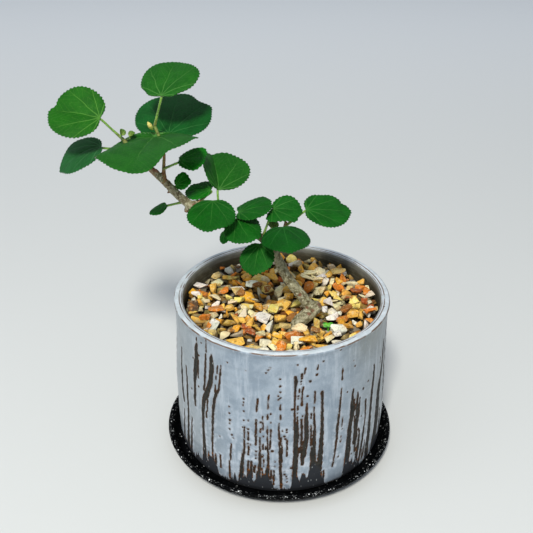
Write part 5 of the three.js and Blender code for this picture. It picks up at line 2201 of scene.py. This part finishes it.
    def _stitched(self, rows: Sequence[tuple[np.ndarray, np.ndarray]], count: int, upper: int) -> Shell:
        """Join the rings of the blade into one closed skin.

        Args:
            rows: Each ring's points and flat places, from the upper face's middle to the underside's.
            count: How many points a ring has.
            upper: How many of the rings belong to the upper face.

        Returns:
            The blade, with slot 0 above and slot 1 below.
        """
        poles = [self._in_place(np.array([[0, 0, -depth]])) for depth in (0, self.thickness)]
        points = np.vstack([row[0] for row in rows] + poles)
        flat = np.vstack([row[1] for row in rows] + [np.zeros((2, 2))])
        top, bottom = len(points) - 2, len(points) - 1
        faces: list[Sequence[int]] = []
        slots: list[int] = []
        for here in range(count):
            ahead = (here + 1) % count
            faces.append((top, here, ahead))
            slots.append(0)
            for row in range(len(rows) - 1):
                start, below = row * count, (row + 1) * count
                faces.append((start + here, below + here, below + ahead, start + ahead))
                slots.append(0 if row < upper else 1)
            last = (len(rows) - 1) * count
            faces.append((bottom, last + ahead, last + here))
            slots.append(1)
        place = np.column_stack([flat, np.zeros(len(flat))])
        return Shell(points, faces, slots, {"leaf_place": place})

    def _stalk(self) -> Shell:
        """Build the stalk, with its swollen foot and its end inside the blade.

        Returns:
            The stalk, in slot 2.
        """
        root = np.array(self.form.root)
        under = self._in_place(np.array([[-0.3, 0, -1.1]]))[0]
        end = self._in_place(np.array([[1.5, 0, -self.solid_thickness / 2]]))[0]
        bends = [tuple(root), tuple((root + under) / 2), tuple(under), tuple(end)]
        line = smooth_line(bends, self.stalk_steps)
        share = np.linspace(0, 1, len(line))
        shares, swells = [0, 0.05, 0.3, 0.66, 0.8, 1], [1.3, 1.25, 0.92, 0.95, 0.95, 0.4]
        radii = self.stalk_radius * np.interp(share, shares, swells)
        if self.form.width < 8:
            radii *= 0.8
        shell = tube(line, radii, self.stalk_sides)
        ring = np.repeat(share, self.stalk_sides)
        place = np.zeros((len(shell.points), 3))
        place[:, 2] = np.concatenate([ring, [0, 1]])
        return Shell(shell.points, shell.faces, [2] * len(shell.faces), {"leaf_place": place})

    def _down(self, stalk: Shell) -> Shell:
        """Build the short fine hairs that stand on the stalk.

        Args:
            stalk: The stalk that carries them.

        Returns:
            The hairs, in slot 3.
        """
        chance = np.random.default_rng(len(self.name) * 31 + round(self.form.width * 10))
        sides = self.stalk_sides
        rings = (len(stalk.points) - 2) // sides
        middles = stalk.points[:-2].reshape(rings, sides, 3).mean(axis=1)
        points, faces = [], []
        for _ in range(self.hairs):
            ring, side = int(chance.integers(2, rings * 2 // 3)), int(chance.integers(sides))
            base = stalk.points[ring * sides + side]
            out = base - middles[ring]
            out = out / np.linalg.norm(out) + chance.normal(scale=0.35, size=3)
            across = np.cross(out, chance.normal(size=3))
            across *= self.hair_width / np.linalg.norm(across)
            beside = np.cross(out, across)
            beside *= self.hair_width / np.linalg.norm(beside)
            tip = base + out * chance.uniform(*self.hair_lengths)
            start = len(points)
            points += [base + across, base - 0.5 * across + beside, base - 0.5 * across - beside, tip]
            faces += [(start + one, start + other, start + 3) for one, other in ((0, 1), (1, 2), (2, 0))]
        place = np.zeros((len(points), 3))
        return Shell(np.array(points), faces, [3] * len(faces), {"leaf_place": place})


# The bud and the sprout

@dataclass
class CrownBud:
    """The pointed bud beside the top leaf's stalk, wrapped in overlapping scales."""

    base: Point = (-65.4, -2, 192.6)
    tip: Point = (-67.4, -3, 197)
    radii: tuple[float, ...] = (0.6, 1.02, 1.15, 0.9, 0.12)
    sides: int = 30
    steps: int = 40
    scale_height: float = 0.08

    def build(self) -> bpy.types.Object:
        """Build and dress the bud.

        Returns:
            The finished piece.
        """
        base, tip = np.array(self.base), np.array(self.tip)
        line = smooth_line([self.base, tuple((base + tip) / 2), self.tip], self.steps)
        share = np.linspace(0, 1, len(line))
        radii = np.interp(share, np.linspace(0, 1, len(self.radii)), self.radii)
        shell = tube(line, radii, self.sides)
        turn = np.tile(np.linspace(0, 2 * np.pi, self.sides, endpoint=False), len(line))
        height = np.repeat(share, self.sides)
        scales = self.scale_height * (((turn / (2 * np.pi) * 3 + height * 2.2) % 1) - 0.5)
        middles = np.repeat(line, self.sides, axis=0)
        shell.points[:-2] += (shell.points[:-2] - middles) * scales[:, None]
        shell.values = {"along": np.concatenate([height, [0, 1]])}
        piece = shell.to_object("bud_scales", [BudScale().material()])
        return fitted(piece, "bud", "crown_bud")


@dataclass
class Sprout:
    """The seedling between the chips: a short stem with two seed leaves."""

    base: Point = SPROUT_FOOT
    height: float = 6.8
    stem: float = 0.48
    length: float = 3.5
    breadth: float = 3.0
    thickness: float = 0.5
    tilt: float = math.radians(32)
    headings: tuple[float, ...] = (15, 165)
    stem_sides: int = 12
    sides: int = 40

    def build(self) -> bpy.types.Object:
        """Build and dress the sprout.

        Returns:
            The finished piece.
        """
        foot, top = np.array(self.base), np.array(self.base) + np.array([0, 0, self.height])
        line = smooth_line([tuple(foot), tuple((foot + top) / 2 + np.array([0.15, 0.1, 0])), tuple(top)], 12)
        stem = tube(line, np.full(len(line), self.stem), self.stem_sides)
        stem.values = {"leaf_place": np.full((len(stem.points), 3), 0.5)}
        shells = [stem] + [self._seed_leaf(heading, top) for heading in self.headings]
        piece = Shell.joined(shells).to_object("sprout_leaves", [SproutGreen().material()])
        return fitted(piece, "young_leaf", "sprout")

    def _seed_leaf(self, heading: float, top: np.ndarray) -> Shell:
        """Build one seed leaf, a little dished along its rib.

        Args:
            heading: Which way it points, in degrees.
            top: The stem's top.

        Returns:
            The seed leaf.
        """
        sides = self.sides
        turns = np.linspace(0, 2 * np.pi, sides, endpoint=False)
        reaches = (0.2, 0.4, 0.6, 0.8, 0.95)
        rings = [(reach, 1) for reach in reaches] + [(1, 0)] + [(reach, -1) for reach in reversed(reaches)]
        rows, places = [], []
        for reach, side in rings:
            x = reach * self.length / 2 * np.cos(turns)
            y = reach * self.breadth / 2 * np.sin(turns) * (1 + 0.12 * np.cos(turns))
            z = side * self.thickness / 2 * math.sqrt(max(0, 1 - reach ** 2)) + 0.08 * np.abs(y)
            rows.append(np.stack([x + self.length / 2 - self.stem, y, z - 0.05], axis=1))
            places.append(np.stack([x, y, np.zeros(sides)], axis=1) / (self.length / 3))
        middle = self.length / 2 - self.stem
        poles = np.array([[middle, 0, self.thickness / 2 - 0.05], [middle, 0, -self.thickness / 2 - 0.05]])
        points = np.vstack(rows + [poles])
        angle = math.radians(heading)
        spin = np.array([[math.cos(angle), -math.sin(angle), 0],
                         [math.sin(angle), math.cos(angle), 0],
                         [0, 0, 1]])
        faces: list[Sequence[int]] = []
        first, last, end = len(points) - 2, len(points) - 1, (len(rows) - 1) * sides
        for here in range(sides):
            ahead = (here + 1) % sides
            faces.append((first, here, ahead))
            faces += [(row + here, row + sides + here, row + sides + ahead, row + ahead)
                      for row in range(0, end, sides)]
            faces.append((last, end + ahead, end + here))
        place = np.vstack(places + [np.zeros((2, 3))])
        lean = np.array(Matrix.Rotation(self.tilt, 3, "X"))
        return Shell(points @ (lean @ spin).T + top, faces, [], {"leaf_place": place})


# The studio

@dataclass
class Studio:
    """The pale floor, the soft lights and the camera at the photograph's angle."""

    lens: float = 53.09
    eye: Point = (-8.5, -376.2, 324.7)
    look_down: float = math.radians(29.3)
    lean: float = math.radians(0.14)
    sky: Colour = srgb(226, 234, 246)
    sky_strength: float = 0.5
    floor_size: float = 6.0

    def build(self) -> None:
        """Set up the floor, the lights and the camera."""
        self._floor()
        self._sky()
        self._lamp("key", (-0.22, -1.18, 1.52), 0.26, 36, srgb(255, 251, 242))
        self._lamp("fill", (-1.0, -0.6, 1.5), 1.4, 5, srgb(236, 243, 255))
        self._camera()
        bpy.context.scene.view_settings.view_transform = "Standard"
        LOG.info("studio is set up")

    def _floor(self) -> None:
        """Lay the floor."""
        half = self.floor_size / 2 / MM
        corners = np.array([[-half, -half, 0], [half, -half, 0], [half, half, 0], [-half, half, 0]])
        floor = Shell(corners, [(0, 1, 2, 3)]).to_object("studio_floor", [StudioPaper().material()])

    def _sky(self) -> None:
        """Light the room from all round."""
        world = bpy.data.worlds.new("studio_sky")
        world.use_nodes = True
        bpy.context.scene.world = world
        back = world.node_tree.nodes["Background"]
        back.inputs["Color"].default_value = self.sky
        back.inputs["Strength"].default_value = self.sky_strength

    @staticmethod
    def _lamp(name: str, place: Point, size: float, power: float, colour: Colour) -> None:
        """Hang a soft square lamp that looks at the plant.

        Args:
            name: The lamp's name.
            place: Where it hangs, in metres.
            size: The length of its side, in metres.
            power: Its power in watts.
            colour: Its colour.
        """
        light = bpy.data.lights.new(name, "AREA")
        light.size = size
        light.energy = power
        light.color = colour[:3]
        lamp = bpy.data.objects.new(name, light)
        lamp.location = place
        lamp.rotation_euler = (Vector((0, 0, 0.1)) - Vector(place)).to_track_quat("-Z", "Y").to_euler()
        bpy.context.scene.collection.objects.link(lamp)

    def _camera(self) -> None:
        """Set the camera where the photograph was taken from."""
        ahead = Vector((0, math.cos(self.look_down), -math.sin(self.look_down)))
        right = Vector((1, 0, 0))
        up = right.cross(ahead)
        side = right * math.cos(self.lean) + up * math.sin(self.lean)
        above = up * math.cos(self.lean) - right * math.sin(self.lean)
        lens = bpy.data.cameras.new("camera")
        lens.lens = self.lens
        lens.sensor_width = 36
        lens.clip_start = 0.01
        eye = bpy.data.objects.new("camera", lens)
        turn = Matrix((side, above, -ahead)).transposed().to_4x4()
        eye.matrix_world = Matrix.Translation(Vector(self.eye) * MM) @ turn
        bpy.context.scene.collection.objects.link(eye)
        bpy.context.scene.camera = eye


def main() -> None:
    """Build and dress every piece in order."""
    logging.basicConfig(level=logging.INFO, format="%(name)s: %(message)s")
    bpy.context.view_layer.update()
    Studio().build()
    Saucer().build()
    Pot().build()
    DrainMesh().dress()
    Grit().build()
    Wood().build()
    for name, form in LEAVES.items():
        Leaf(name, form).build()
    CrownBud().build()
    Sprout().build()


if __name__ == "__main__":
    main()
